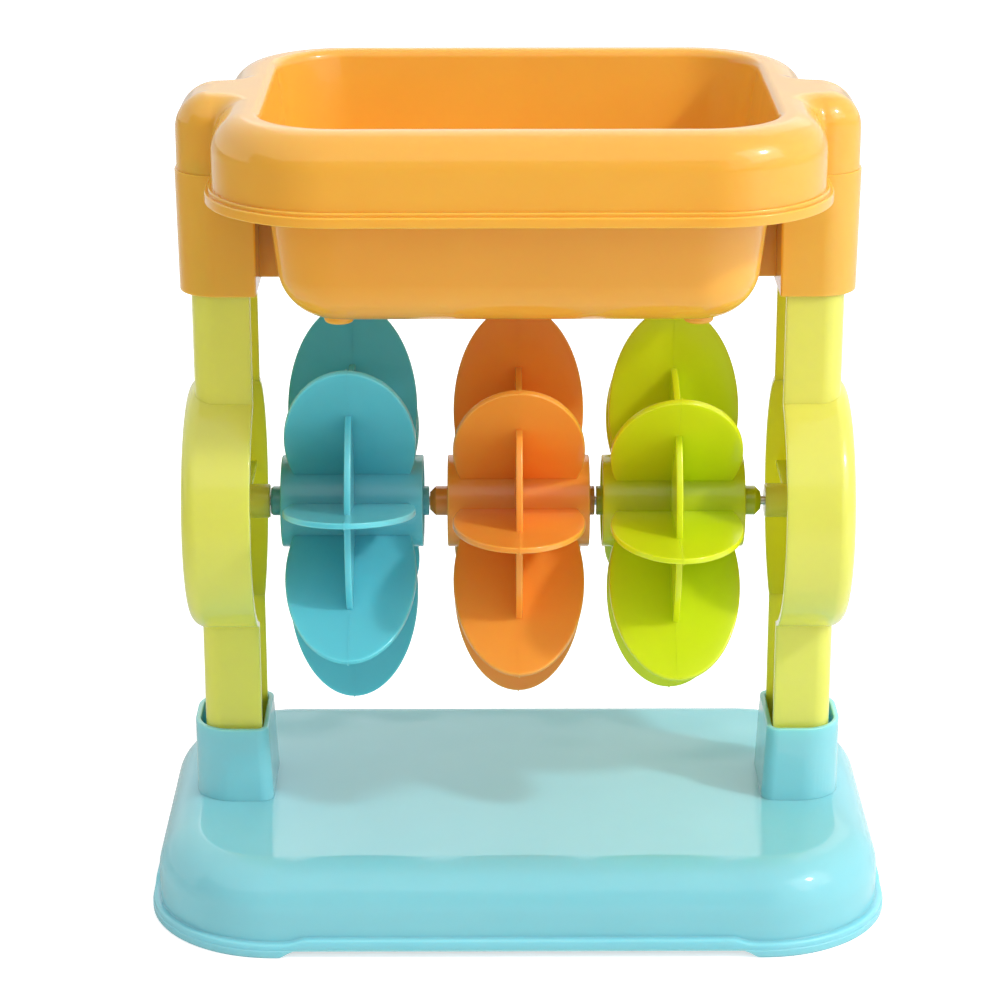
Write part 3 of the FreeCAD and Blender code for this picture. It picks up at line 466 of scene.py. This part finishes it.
@dataclass
class BaseTray:
    """The blue base: a lip, a dome, the hollow under it, and a socket for each leg."""

    half_width: float = 120.0
    half_depth: float = 75.35
    corner: float = 42.35
    height: float = 28.35
    wall: float = 2.2
    dome_round: float = 14.0
    lip_width: float = 2.57
    lip_height: float = 6.3
    lip_round: float = 0.8
    lip_root: float = 0.3
    parting_height: float = 2.7
    parting_step: float = 0.3
    lip_drop: float = 1.5
    lip_slope: float = 6.6
    lip_half_width: float = 67.5
    lip_half_depth: float = 25.0
    arch_height: float = 2.5
    arch_slope: float = 6.3
    arch_half_width: float = 71.0
    arch_half_depth: float = 28.5
    socket: Plan = Plan(82.3, 107.0, 17.4, 4.0, 12.5)
    socket_hole: Plan = Plan(84.1, 105.2, 15.6, 2.2, 10.7)
    socket_top: float = 53.84
    socket_spread: float = 1.4
    socket_edge: float = 0.45

    def build(self, material: bpy.types.Material) -> None:
        """Makes the whole moulding and dresses it."""
        plan = Plan(-self.half_width, self.half_width, self.half_depth, self.corner, self.corner,
                    arc_steps=28, line_step=1.6)
        tray = solid("base_moulding", self.stepped(plan.rise(self.outside())))
        shape(tray, Op.ADD, [mirrored(self.socket_rings(), side) for side in Side])
        holes = [mirrored(self.hole_rings(), side) for side in Side]
        shape(tray, Op.CUT, [plan.rise(self.inside())] + holes + list(self.arches()))
        dress(tray, "stand", "base", "base_blue", material)

    def outside(self) -> np.ndarray:
        """The section of lip and dome, with the fine step where the mould's halves part."""
        edge, lip, step = self.lip_round, self.lip_width, self.parting_step
        root = self.lip_root
        return section(
            arc(edge, edge, edge, -90, 0, 4), (0, self.parting_height - step / 2),
            (step, self.parting_height + step / 2),
            arc(step + edge, self.lip_height - edge, edge, 0, 90, 4),
            (lip - root, self.lip_height), (lip, self.lip_height + root),
            arc(lip + self.dome_round, self.height - self.dome_round, self.dome_round, 0, 90, 24))

    def inside(self) -> np.ndarray:
        """The section of the hollow, one wall's thickness inside the dome."""
        return section((self.lip_width + self.wall, -OVERRUN), arc(
            self.lip_width + self.dome_round, self.height - self.dome_round, self.dome_round - self.wall,
            0, 90, 20))

    def stepped(self, rings: np.ndarray) -> np.ndarray:
        """Lowers the lip's top at the corners: drop = full drop x step over |x| x step over |y|."""
        x, y = np.abs(rings[..., 0]), np.abs(rings[..., 1])
        corner = (eased(x, self.lip_half_width, self.lip_half_width + self.lip_slope)
                  * eased(y, self.lip_half_depth, self.lip_half_depth + self.lip_slope))
        top = (rings[..., 2] > self.lip_height / 2) & (rings[..., 2] < self.lip_height + 2 * self.lip_root)
        rings[..., 2] -= np.where(top, self.lip_drop * corner, 0)
        return rings

    def socket_rings(self) -> np.ndarray:
        """A socket's outside; its inner side leans out towards the foot, in proportion to the depth."""
        edge = self.socket_edge
        foot = self.height - self.wall
        rings = self.socket.rise(section((0, foot), arc(edge, self.socket_top - edge, edge, 0, 90, 4)))
        lean = self.socket_spread * (self.socket_top - rings[..., 2]) / (self.socket_top - foot)
        across = (self.socket.high - rings[..., 0]) / (self.socket.high - self.socket.low)
        rings[..., 0] -= lean * across
        return rings

    def hole_rings(self) -> np.ndarray:
        """The space in a socket, opened a little at its mouth."""
        edge = self.socket_edge
        mouth = hollow_arc(-edge, self.socket_top - edge, edge, 0, -90, 4)
        return self.socket_hole.rise(section((0, self.height), mouth, (-edge, self.socket_top + edge)))

    def arches(self) -> Iterable[np.ndarray]:
        """The shallow cuts that lift the edges between the corner feet."""
        for axis, crown in ((1, self.arch_half_width), (0, self.arch_half_depth)):
            run = np.linspace(crown + self.arch_slope, crown, 13)
            rise = self.arch_height * eased(-run, -crown - self.arch_slope, -crown)
            half = np.stack([run, rise], axis=1)
            under = np.array([(run[0], -self.arch_height)])
            corners = np.vstack([under, half, half[::-1] * (-1, 1), under * (-1, 1)])
            reach = 2 * self.half_width
            yield prism(corners, axis, -reach, reach)


@dataclass
class Leg:
    """A yellow leg: a channel open towards the wheels, with a drum at axle height."""

    side: Side
    inner: float = 84.3
    outer: float = 103.2
    wall: float = 1.8
    bottom: float = 28.35
    top: float = LEG_TOP
    upper_half_depth: float = 16.44
    upper_corner: float = 7.0
    lower_half_depth: float = 14.2
    lower_corner: float = 5.5
    edge: float = 0.5
    axle_height: float = AXLE_HEIGHT
    ring_radius: float = 41.27
    ring_outer: float = 106.4
    ring_round: float = 5.5
    boss_end: float = 80.6
    boss_radius: float = 5.55
    bore_radius: float = 1.53
    bore_end: float = 96.25
    rib_start: float = 87.9
    rib_thickness: float = 1.8

    def bar(self, half_depth: float, corner: float, low: float, high: float, inset: float = 0) -> np.ndarray:
        """A straight run of the leg, or of the space in it when inset is the wall's thickness.

        Args:
            half_depth: Half the leg's depth from front to back, in mm.
            corner: Radius of its outer corners, in mm.
            low: Height of its lower end, in mm.
            high: Height of its upper end, in mm.
            inset: How far inside the leg's outside it lies; the open side isn't walled, in mm.
        """
        start = self.inner - inset * 10
        plan = Plan(start, self.outer - inset, half_depth - inset, self.edge, corner - inset, arc_steps=10)
        return plan.rise(section((0, low), (0, high)))

    def disc(self, start: float, inset: float = 0) -> np.ndarray:
        """The drum, or the space in it: a section of x and radius turned about the axle's line."""
        radius, face, bend = self.ring_radius - inset, self.ring_outer - inset, self.ring_round - inset
        rounding = arc(0, 0, bend, 0, 90, 12)
        # the rounding's inset becomes the radius, and its height the distance along the axle
        curve = np.stack([face - bend + rounding[:, 1], radius - bend - rounding[:, 0]], axis=1)
        lead = [(start, radius)] if inset else arc_lead(start, radius, self.edge)
        return turned(np.vstack([lead, curve]), self.axle_height, Fineness.DISC)

    def rib(self) -> np.ndarray:
        """The rib across the drum, which ends in the middle of its wall and follows its rounding."""
        inset, half = self.wall / 2, self.rib_thickness / 2
        floor, span, bend = self.ring_outer - inset, self.ring_radius - inset, self.ring_round - inset
        rounding = arc(0, 0, bend, 0, 90)
        end = np.stack([floor - bend - rounding[:, 0], span - bend + rounding[:, 1]], axis=1)
        plan = np.vstack([end, (self.rib_start, span)])
        return prism(np.vstack([plan, plan[::-1] * (1, -1)]), 2, self.axle_height - half,
                     self.axle_height + half)

    def boss(self) -> np.ndarray:
        """The boss that holds the axle's end, rooted in the drum's floor."""
        lead = arc_lead(self.boss_end, self.boss_radius, self.edge)
        root = (self.ring_outer - self.wall / 2, self.boss_radius)
        return turned(np.vstack([lead, root]), self.axle_height, Fineness.TUBE)

    def build(self, material: bpy.types.Material) -> None:
        """Makes the whole leg and dresses it."""
        name = self.side.name.lower() + "_leg"
        upper = (self.upper_half_depth, self.upper_corner, self.axle_height)
        lower = (self.lower_half_depth, self.lower_corner)
        lower_top = self.axle_height + self.edge
        leg = solid(name + "_moulding", mirrored(self.bar(*upper, self.top), self.side))
        bore = rod(self.boss_end - OVERRUN, self.bore_end, self.bore_radius, self.axle_height, Fineness.BORE)
        for op, stacks in (
                (Op.ADD, [self.bar(*lower, self.bottom, lower_top), self.disc(self.inner)]),
                (Op.CUT, [self.bar(*upper, self.top - self.wall, self.wall),
                          self.bar(*lower, self.bottom + self.wall, lower_top, self.wall),
                          self.disc(self.inner - self.wall, self.wall)]),
                (Op.ADD, [self.rib(), self.boss()]),
                (Op.CUT, [bore])):
            shape(leg, op, [mirrored(rings, self.side) for rings in stacks])
        dress(leg, "stand", name, "leg_yellow", material)


@dataclass
class Hopper:
    """The orange hopper: tub, rounded rim over a stepped lip, and a shoulder and sleeve at each end."""

    rim: Plan = Plan(-93.0, 93.0, 75.6, 37.0, 37.0, 28)
    rim_top: float = 264.5
    rim_round: float = 11.0
    wall: float = 2.0
    lip_bottom: float = 237.9
    lip_width: float = 2.3
    lip_height: float = 3.2
    ledge_width: float = 1.1
    ledge_height: float = 4.4
    lip_edge: float = 0.45
    tub: Plan = Plan(-79.7, 79.7, 63.3, 26.0, 26.0, 28)
    bowl: Plan = Plan(-77.7, 77.7, 61.3, 24.0, 24.0, 28)
    tub_bottom: float = 201.1
    tub_drawn_in: float = 7.7
    tub_round: float = 16.3
    mouth_round: float = 3.0
    shoulder: Plan = Plan(66.0, 107.0, 18.1, 8.0, 13.0, 20)
    shoulder_space: Plan = Plan(84.0, 105.0, 16.1, 4.0, 11.0, 16)
    shoulder_end_round: float = 12.0
    shoulder_side_round: float = 9.0
    shoulder_round_growth: float = 1.3
    shoulder_blend: float = 2.5
    shoulder_sink: float = 0.02
    sleeve: Plan = Plan(81.7, 107.6, 18.4, 1.2, 13.0, 20)
    sleeve_bottom: float = 201.1
    sleeve_top: float = 240.1
    sleeve_drawn_in: float = 0.5
    leg_space: Plan = Plan(84.0, 103.5, 16.74, 0.9, 7.3, 12)
    leg_top: float = LEG_TOP
    web_start: float = 55.7
    web_end: float = 82.7
    web_bottom: float = 203.4
    foot_x: float = 55.2
    foot_y: float = 38.0
    foot_radius: float = 4.6
    foot_height: float = 2.2
    foot_edge: float = 1.2
    outlet: Plan = Plan(-8.0, 8.0, 4.0, 3.84, 3.84, 10)
    outlet_y: float = -18.0
    outlets_x: tuple[float, ...] = WHEELS_X

    def rim_rings(self) -> np.ndarray:
        """The rim's outside: the lip, the ledge over it, and the rounded skirt."""
        edge, base = self.lip_edge, self.lip_bottom
        lip, ledge = edge - self.lip_width, edge - self.ledge_width
        return self.rim.rise(section(
            arc(lip, base + edge, edge, -90, 0, 4), arc(lip, base + self.lip_height - edge, edge, 0, 90, 4),
            (-self.ledge_width, base + self.lip_height),
            arc(ledge, base + self.ledge_height - edge, edge, 0, 90, 4), (0, base + self.ledge_height),
            arc(self.rim_round, self.rim_top - self.rim_round, self.rim_round, 0, 90, 24)))

    def rim_space(self) -> np.ndarray:
        """The channel under the rim, one wall's thickness inside it."""
        return self.rim.rise(section((self.wall, self.lip_bottom - OVERRUN), arc(
            self.rim_round, self.rim_top - self.rim_round, self.rim_round - self.wall, 0, 90, 20)))

    def tub_rings(self, plan: Plan, floor: float, bend: float, mouth: float = 0) -> np.ndarray:
        """The tub's outside or inside: walls that draw in evenly, rounded into the floor.

        Args:
            plan: Outline at the rim.
            floor: Height of the floor, in mm.
            bend: Radius between wall and floor, in mm.
            mouth: Radius that opens the wall at the rim, in mm, or 0.
        """
        slope = self.tub_drawn_in / (self.rim_top - self.tub_bottom)
        lean = math.atan(slope)
        centre = (self.rim_top - floor - bend) * slope + bend / math.cos(lean)
        top = [(0, self.rim_top)]
        if mouth:
            top = np.vstack([hollow_arc(-mouth, self.rim_top - mouth, mouth, 0, -90, 6),
                             (-mouth, self.rim_top + mouth)])
        return plan.rise(section(arc(centre, floor + bend, bend, -90, -math.degrees(lean), 16), top))

    def blended(self) -> tuple[np.ndarray, np.ndarray, np.ndarray]:
        """The shoulder's outline, flared into the rim by a hollow arc on each side.

        The hollow arc of radius b touches the rim's end and the shoulder's corner of radius c, so its
        centre lies at x = rim + b, at a distance b + c from the corner's centre.

        Returns:
            Points, outward normals, and the radius of the top edge at each point, which goes from the
            rim's to the shoulder's side and then to its end.
        """
        b, c = self.shoulder_blend, self.shoulder.high_corner
        centre = np.array([self.shoulder.high - c, c - self.shoulder.half_depth])
        across = self.rim.high + b - centre[0]
        root = centre[1] - math.sqrt((b + c) ** 2 - across ** 2)
        touch = math.atan2(root - centre[1], across)
        hollow, corner = np.linspace(0, touch, 12), np.linspace(touch, 0, 28)[1:]
        turn = np.concatenate([[0], hollow, corner])
        facing = np.stack([np.cos(turn), np.sin(turn)], axis=1)
        bent = 1 + len(hollow)
        front = np.vstack([(self.shoulder.low, root), (self.rim.high + b, root) - b * facing[1:bent],
                           centre + c * facing[bent:]])
        side, end = self.shoulder_side_round, self.shoulder_end_round
        grown = (1 - corner / touch) ** self.shoulder_round_growth
        radius = np.concatenate([[self.rim_round], self.rim_round + (side - self.rim_round) * hollow / touch,
                                 side + (end - side) * grown])
        return (np.vstack([front, front[::-1] * (1, -1)]), np.vstack([facing, facing[::-1] * (1, -1)]),
                np.concatenate([radius, radius[::-1]]))

    def domed(self, points: np.ndarray, normals: np.ndarray, radius: np.ndarray, bottom: float,
              top: float) -> np.ndarray:
        """A form with a rounded top edge: outline - r (1 - cos t) x normal, at height top - r (1 - sin t).

        Args:
            points: Its outline, in mm.
            normals: The outline's outward normals.
            radius: Radius of the top edge, r, at each point, in mm.
            bottom: Height of its foot, in mm.
            top: Height of its top, in mm.
        """
        turn = np.radians(np.linspace(0, 90, 15))[:, None]
        inset = radius * (1 - np.cos(turn))
        height = top - radius * (1 - np.sin(turn))
        flat = points[None] - inset[..., None] * normals[None]
        foot = np.concatenate([points, np.full((len(points), 1), bottom)], axis=1)
        return np.concatenate([foot[None], np.concatenate([flat, height[..., None]], axis=2)])

    def shoulder_rings(self) -> np.ndarray:
        """The shoulder's outside; its flat top sinks a hair under the rim's, so they share no plane."""
        return self.domed(*self.blended(), self.sleeve_top, self.rim_top - self.shoulder_sink)

    def shoulder_space_rings(self) -> np.ndarray:
        """The space in the shoulder, whose top edge grows rounder from its sides to its end."""
        points, normals = self.shoulder_space.outline()
        share = np.clip(normals[:, 0], 0, 1) ** self.shoulder_round_growth
        rounder = share * (self.shoulder_end_round - self.shoulder_side_round)
        return self.domed(points, normals, self.shoulder_side_round - self.wall + rounder,
                          self.sleeve_top - 2 * OVERRUN, self.rim_top - self.wall)

    def sleeve_rings(self) -> np.ndarray:
        """The sleeve over a leg's top, drawn in a little towards its lower edge."""
        edge = self.lip_edge
        drawn = self.sleeve_drawn_in
        return self.sleeve.rise(section(
            arc(drawn + edge, self.sleeve_bottom + edge, edge, -90, 0, 4),
            arc(edge / 2, self.sleeve_top - edge / 2, edge / 2, 0, 90, 2)))

    def build(self, material: bpy.types.Material) -> None:
        """Makes the whole moulding and dresses it."""
        half = self.wall / 2
        tub = self.tub_rings(self.tub, self.tub_bottom, self.tub_round)
        bowl = self.tub_rings(self.bowl, self.tub_bottom + self.wall, self.tub_round - self.wall,
                              self.mouth_round)
        web = slab((self.web_start, -half, self.web_bottom), (self.web_end, half, self.sleeve_top))
        leg_space = self.leg_space.rise(section((0, self.sleeve_bottom - 2 * OVERRUN), (0, self.leg_top)))
        # the rib in the sleeve that rests on the leg's top
        stop = slab((self.leg_space.low - OVERRUN, -half, self.leg_top),
                    (self.shoulder.high - self.shoulder_end_round, half, self.rim_top - OVERRUN))
        hopper = solid("hopper_moulding", self.rim_rings())
        shape(hopper, Op.CUT, [self.rim_space()])
        ends = (self.shoulder_rings(), self.sleeve_rings(), web)
        shape(hopper, Op.ADD, [tub] + [mirrored(rings, side) for rings in ends for side in Side]
              + list(self.feet()))
        spaces = (self.shoulder_space_rings(), leg_space)
        shape(hopper, Op.CUT, [bowl] + [mirrored(rings, side) for rings in spaces for side in Side]
              + list(self.outlets()))
        shape(hopper, Op.ADD, [mirrored(stop, side) for side in Side])
        dress(hopper, "hopper", "hopper", "hopper_orange", material)

    def feet(self) -> Iterable[np.ndarray]:
        """The four low feet under the tub."""
        r, edge = self.foot_radius, self.foot_edge
        low = self.tub_bottom - self.foot_height
        rings = Plan(-r, r, r, r, r, 10).rise(section(
            arc(edge, low + edge, edge, -90, 0, 5), (0, self.tub_bottom + OVERRUN)))
        for x in (-self.foot_x, self.foot_x):
            for y in (-self.foot_y, self.foot_y):
                yield rings + np.array([x, y, 0])

    def outlets(self) -> Iterable[np.ndarray]:
        """The slots in the floor, one over each wheel."""
        top = self.tub_bottom + self.wall + OVERRUN
        rings = self.outlet.rise(section((0, self.tub_bottom - OVERRUN), (0, top)))
        for x in self.outlets_x:
            yield rings + np.array([x, self.outlet_y, 0])


@dataclass
class PaddleWheel:
    """A paddle wheel: an open-ended drum round an axle tube, a centre disc and eight petal blades."""

    name: str
    slot: str
    x: float
    turn: float
    low_collar: Collar
    high_collar: Collar
    axle_height: float = AXLE_HEIGHT
    blades: int = 8
    drum_radius: float = 15.0
    drum_wall: float = 1.8
    drum_length: float = 46.0
    edge: float = 0.5
    disc_radius: float = 44.7
    disc_thickness: float = 2.1
    petal_centre: float = 30.0
    petal_reach: float = 34.7
    petal_half_width: float = 21.05
    petal_thickness: float = 1.9
    seam_width: float = 0.4
    seam_height: float = 0.18
    tube_radius: float = 4.8
    bore_radius: float = 1.58

    def wheel_of(self, radius: float, half_length: float, steps: int) -> np.ndarray:
        """A disc or drum about the axle, with rounded rims."""
        rim = arc_lead(-half_length, radius, self.edge)
        return turned(np.vstack([rim, rim[::-1] * (-1, 1)]), 0, steps)

    def petal(self) -> np.ndarray:
        """A blade: x = a cos t, y = centre + b sin t, with its rim rounded across its thickness."""
        turn = np.linspace(0, 2 * math.pi, Fineness.RIM, endpoint=False)
        profile = section(arc(self.edge, -self.petal_thickness / 2 + self.edge, self.edge, -90, 0, 4),
                          arc(self.edge, self.petal_thickness / 2 - self.edge, self.edge, 0, 90, 4))
        inset, height = profile[:, :1], profile[:, 1:]
        x = (self.petal_half_width - inset) * np.cos(turn)
        y = self.petal_centre + (self.petal_reach - inset) * np.sin(turn)
        return np.stack([x, y, np.broadcast_to(height, x.shape)], axis=2)

    def seam(self) -> np.ndarray:
        """The fine ridge that the mould's parting leaves round a blade, in line with the disc."""
        half = self.petal_thickness / 2 + self.seam_height
        tip = self.petal_centre + self.petal_reach + self.seam_height
        return slab((-self.seam_width / 2, self.disc_radius - OVERRUN, -half),
                    (self.seam_width / 2, tip, half))

    def recess(self, sign: int) -> np.ndarray:
        """The space cored out of one end of the drum, down to the disc."""
        ends = sorted((sign * self.disc_thickness / 2, sign * (self.drum_length / 2 + OVERRUN)))
        return rod(*ends, self.drum_radius - self.drum_wall, 0, Fineness.RECESS)

    def build(self, material: bpy.types.Material) -> None:
        """Makes the wheel on the axle's line at its rest angle, and dresses it."""
        half = self.drum_length / 2
        (low, low_bevel), (high, high_bevel) = self.low_collar.value, self.high_collar.value
        tube = turned(bevelled(-half - low, half + high, self.tube_radius, low_bevel, high_bevel), 0,
                      Fineness.TUBE)
        bore = rod(-half * 2, half * 2, self.bore_radius, 0, Fineness.BORE)
        disc = self.wheel_of(self.disc_radius, self.disc_thickness / 2, Fineness.DISC)
        blade = (self.petal(), self.seam())
        petals = [spun(form, 360 / self.blades * k, 0, 0) for k in range(self.blades) for form in blade]
        drum = self.wheel_of(self.drum_radius, half, Fineness.RIM)
        wheel = solid(self.name + "_moulding", self.placed(drum))
        for op, stacks in ((Op.ADD, [disc] + petals), (Op.CUT, [self.recess(-1), self.recess(1)]),
                           (Op.ADD, [tube]), (Op.CUT, [bore])):
            shape(wheel, op, [self.placed(rings) for rings in stacks])
        dress(wheel, self.name, self.name, self.slot, material)

    def placed(self, rings: np.ndarray) -> np.ndarray:
        """The stack turned to the wheel's rest angle, on the axle."""
        return spun(rings, -self.turn, self.x, self.axle_height)


@dataclass
class Axle:
    """The steel rod that carries the wheels."""

    radius: float = 1.5
    half_length: float = 96.0
    bevel: float = 0.3
    height: float = AXLE_HEIGHT

    def build(self, material: bpy.types.Material) -> None:
        """Makes the rod and dresses it."""
        profile = bevelled(-self.half_length, self.half_length, self.radius, self.bevel, self.bevel)
        axle = solid("axle_rod", turned(profile, self.height, Fineness.BORE))
        dress(axle, "stand", "axle", "axle_steel", material)


# ----------------------------------------------------------------------------------------- studio


@dataclass(frozen=True)
class Studio:
    """A white table, soft lamps and the camera that stands where the photographer stood.

    Places are in metres, turns in degrees, and the lens and its sensor in mm.
    """

    camera_place: tuple[float, float, float] = (-0.0083, -0.9474, 0.4521)
    camera_turn: tuple[float, float, float] = (71.108, 0.0383, -0.1683)
    lens: float = 110.36
    sensor: float = 36.0
    lamp_aim: tuple[float, float, float] = (0.0, 0.0, 0.13)
    room_light: float = 0.66
    room_height: float = 1.2
    table_reach: float = 20.0
    table_glow: float = 0.6

    def camera(self) -> None:
        """Adds the camera, fitted to the photograph."""
        data = bpy.data.cameras.new("camera")
        data.lens = self.lens
        data.sensor_width = self.sensor
        data.clip_end = 50.0
        camera = bpy.data.objects.new("camera", data)
        camera.location = self.camera_place
        camera.rotation_euler = Euler([math.radians(a) for a in self.camera_turn])
        bpy.context.scene.collection.objects.link(camera)
        bpy.context.scene.camera = camera

    def lamp(self, name: str, place: Sequence[float], size: float, watts: float) -> None:
        """Adds a square soft lamp that faces the toy."""
        data = bpy.data.lights.new(name, "AREA")
        data.size = size
        data.energy = watts
        lamp = bpy.data.objects.new(name, data)
        lamp.location = place
        lamp.rotation_euler = (Vector(self.lamp_aim) - Vector(place)).to_track_quat("-Z", "Y").to_euler()
        bpy.context.scene.collection.objects.link(lamp)

    def world(self) -> None:
        """White to the camera and in reflections, and a soft even light on surfaces."""
        world = bpy.data.worlds.new("studio_white")
        world.use_nodes = True
        tree = world.node_tree
        tree.nodes.clear()
        path = add(tree, "ShaderNodeLightPath")
        seen = add(tree, "ShaderNodeMath", {"operation": "MAXIMUM"}, _0=path.outputs["Is Camera Ray"],
                   _1=path.outputs["Is Glossy Ray"])
        seen = add(tree, "ShaderNodeMath", {"operation": "MAXIMUM"}, _0=seen.outputs[0],
                   _1=path.outputs["Is Transmission Ray"])
        level = add(tree, "ShaderNodeMapRange", Value=seen.outputs[0], To_Min=self.room_light, To_Max=1.0)
        glow = add(tree, "ShaderNodeBackground", Color=(1, 1, 1, 1), Strength=level.outputs["Result"])
        add(tree, "ShaderNodeOutputWorld", Surface=glow.outputs["Background"])
        bpy.context.scene.world = world

    def painted_dark_reflections(self) -> None:
        """Painted dark reflections: grey walls behind and left of the photographer that only glossy rays
        see, darkening the toy's gloss there.
        """
        material, tree = empty_material("painted_reflection_sheet")
        path = add(tree, "ShaderNodeLightPath")
        clear = add(tree, "ShaderNodeBsdfTransparent")
        # painted dark reflection: glossy rays alone see this grey; to every other ray the walls are clear
        grey_for_gloss = add(tree, "ShaderNodeBsdfDiffuse", Color=linear("#707070"))
        both = add(tree, "ShaderNodeMixShader", _0=path.outputs["Is Glossy Ray"], _1=clear.outputs[0],
                   _2=grey_for_gloss.outputs[0])
        add(tree, "ShaderNodeOutputMaterial", Surface=both.outputs[0])
        corners = [(0.6, -1.8), (-1.9, -1.8), (-1.9, -0.3)]
        points = [(x, y, z) for z in (0.0, self.room_height) for x, y in corners]
        walls = place_mesh("painted_dark_reflections", points, [(0, 1, 4, 3), (1, 2, 5, 4)])
        walls.data.materials.append(material)

    def table(self) -> None:
        """A white table that keeps the toy's shadow."""
        material, tree = empty_material("white_table_laminate")
        path = add(tree, "ShaderNodeLightPath")
        # to the camera the white top is lit a little from within, so that it joins the background
        plain = add(tree, "ShaderNodeBsdfDiffuse", Color=linear("#f4f4f4"))
        white = add(tree, "ShaderNodeEmission", Color=(1, 1, 1, 1), Strength=self.table_glow)
        seen = add(tree, "ShaderNodeAddShader", _0=plain.outputs[0], _1=white.outputs[0])
        both = add(tree, "ShaderNodeMixShader", _0=path.outputs["Is Camera Ray"], _1=plain.outputs[0],
                   _2=seen.outputs[0])
        # painted dim reflection: to glossy rays only, the table is darker to the front left: not at the toy,
        # fully from 0.5 m away
        painted_dim_reflection = add(tree, "ShaderNodeBsdfDiffuse", Color=linear("#8c8c8c"))
        place = add(tree, "ShaderNodeTexCoord").outputs["Object"]
        away = add(tree, "ShaderNodeVectorMath", {"operation": "DOT_PRODUCT"}, _0=place,
                   _1=(-0.7, -0.7, 0.0))
        away = add(tree, "ShaderNodeMapRange", Value=away.outputs["Value"], From_Min=0.0, From_Max=0.5)
        share = add(tree, "ShaderNodeMath", {"operation": "MULTIPLY"}, _0=away.outputs["Result"],
                    _1=path.outputs["Is Glossy Ray"])
        both = add(tree, "ShaderNodeMixShader", _0=share.outputs[0], _1=both.outputs[0], _2=painted_dim_reflection.outputs[0])
        add(tree, "ShaderNodeOutputMaterial", Surface=both.outputs[0])
        reach = self.table_reach
        corners = [(-reach, -reach, 0), (reach, -reach, 0), (reach, reach, 0), (-reach, reach, 0)]
        table = place_mesh("table", corners, [(0, 1, 2, 3)])
        table.data.materials.append(material)

    def build(self) -> None:
        """Sets up the whole studio."""
        bpy.context.scene.view_settings.view_transform = "Standard"
        self.camera()
        self.world()
        self.table()
        self.painted_dark_reflections()
        # the small lamp draws the highlights and shadows, and the large ones beside it soften them
        self.lamp("key", (1.3, -0.7, 1.36), size=0.14, watts=14.0)
        self.lamp("side", (1.25, -0.75, 1.15), size=1.1, watts=7.0)
        self.lamp("front", (-0.3, -1.5, 1.0), size=1.2, watts=0.5)
        self.lamp("back", (0.2, 1.3, 1.3), size=1.4, watts=4.0)


def main() -> None:
    """Builds the toy piece by piece, then the studio round it."""
    logging.basicConfig(level=logging.INFO, format="%(name)s: %(message)s")
    blue = MouldedPlastic("blue_polypropylene", "#93d9e4", "#88d3df", reach=4.0, spread=(0.6, 0.9, 1.0),
                          roughness=0.04, sheen=0.15, ripple_pitch=40.0, ripple_depth=1.6).make()
    yellow = MouldedPlastic("yellow_polypropylene", "#fff068", "#faea60", reach=7.0, spread=(1.0, 0.9, 0.4),
                            roughness=0.1, sheen=0.5).make()
    orange = MouldedPlastic("orange_polypropylene", "#f2b946", "#edb03e", reach=2.0, spread=(1.0, 0.8, 0.6),
                            roughness=0.07, sheen=0.4).make()
    teal = MouldedPlastic("teal_polypropylene", "#6ccad8", "#62c4d2", reach=4.0, spread=(0.6, 1.0, 0.9),
                          roughness=0.14, sheen=0.3).make()
    red_orange = MouldedPlastic("red_orange_polypropylene", "#ffa643", "#fd9c3b", reach=2.5,
                                spread=(1.0, 0.8, 0.6), roughness=0.14, sheen=0.3).make()
    lime = MouldedPlastic("lime_polypropylene", "#cfe21e", "#c9dc1a", reach=6.0, spread=(0.9, 1.0, 0.3),
                          roughness=0.14, sheen=0.3).make()
    steel = DrawnSteel("drawn_steel_wire").make()
    left, middle, right = WHEELS_X
    BaseTray().build(blue)
    for side in Side:
        Leg(side).build(yellow)
    Axle().build(steel)
    PaddleWheel("left_wheel", "wheel_blue", left, 11.88, Collar.END, Collar.SHORT).build(teal)
    PaddleWheel("middle_wheel", "wheel_orange", middle, 5.03, Collar.LONG, Collar.SHORT).build(red_orange)
    PaddleWheel("right_wheel", "wheel_green", right, 1.92, Collar.SHORT, Collar.LONG).build(lime)
    Hopper().build(orange)
    Studio().build()


if __name__ == "__main__":
    main()
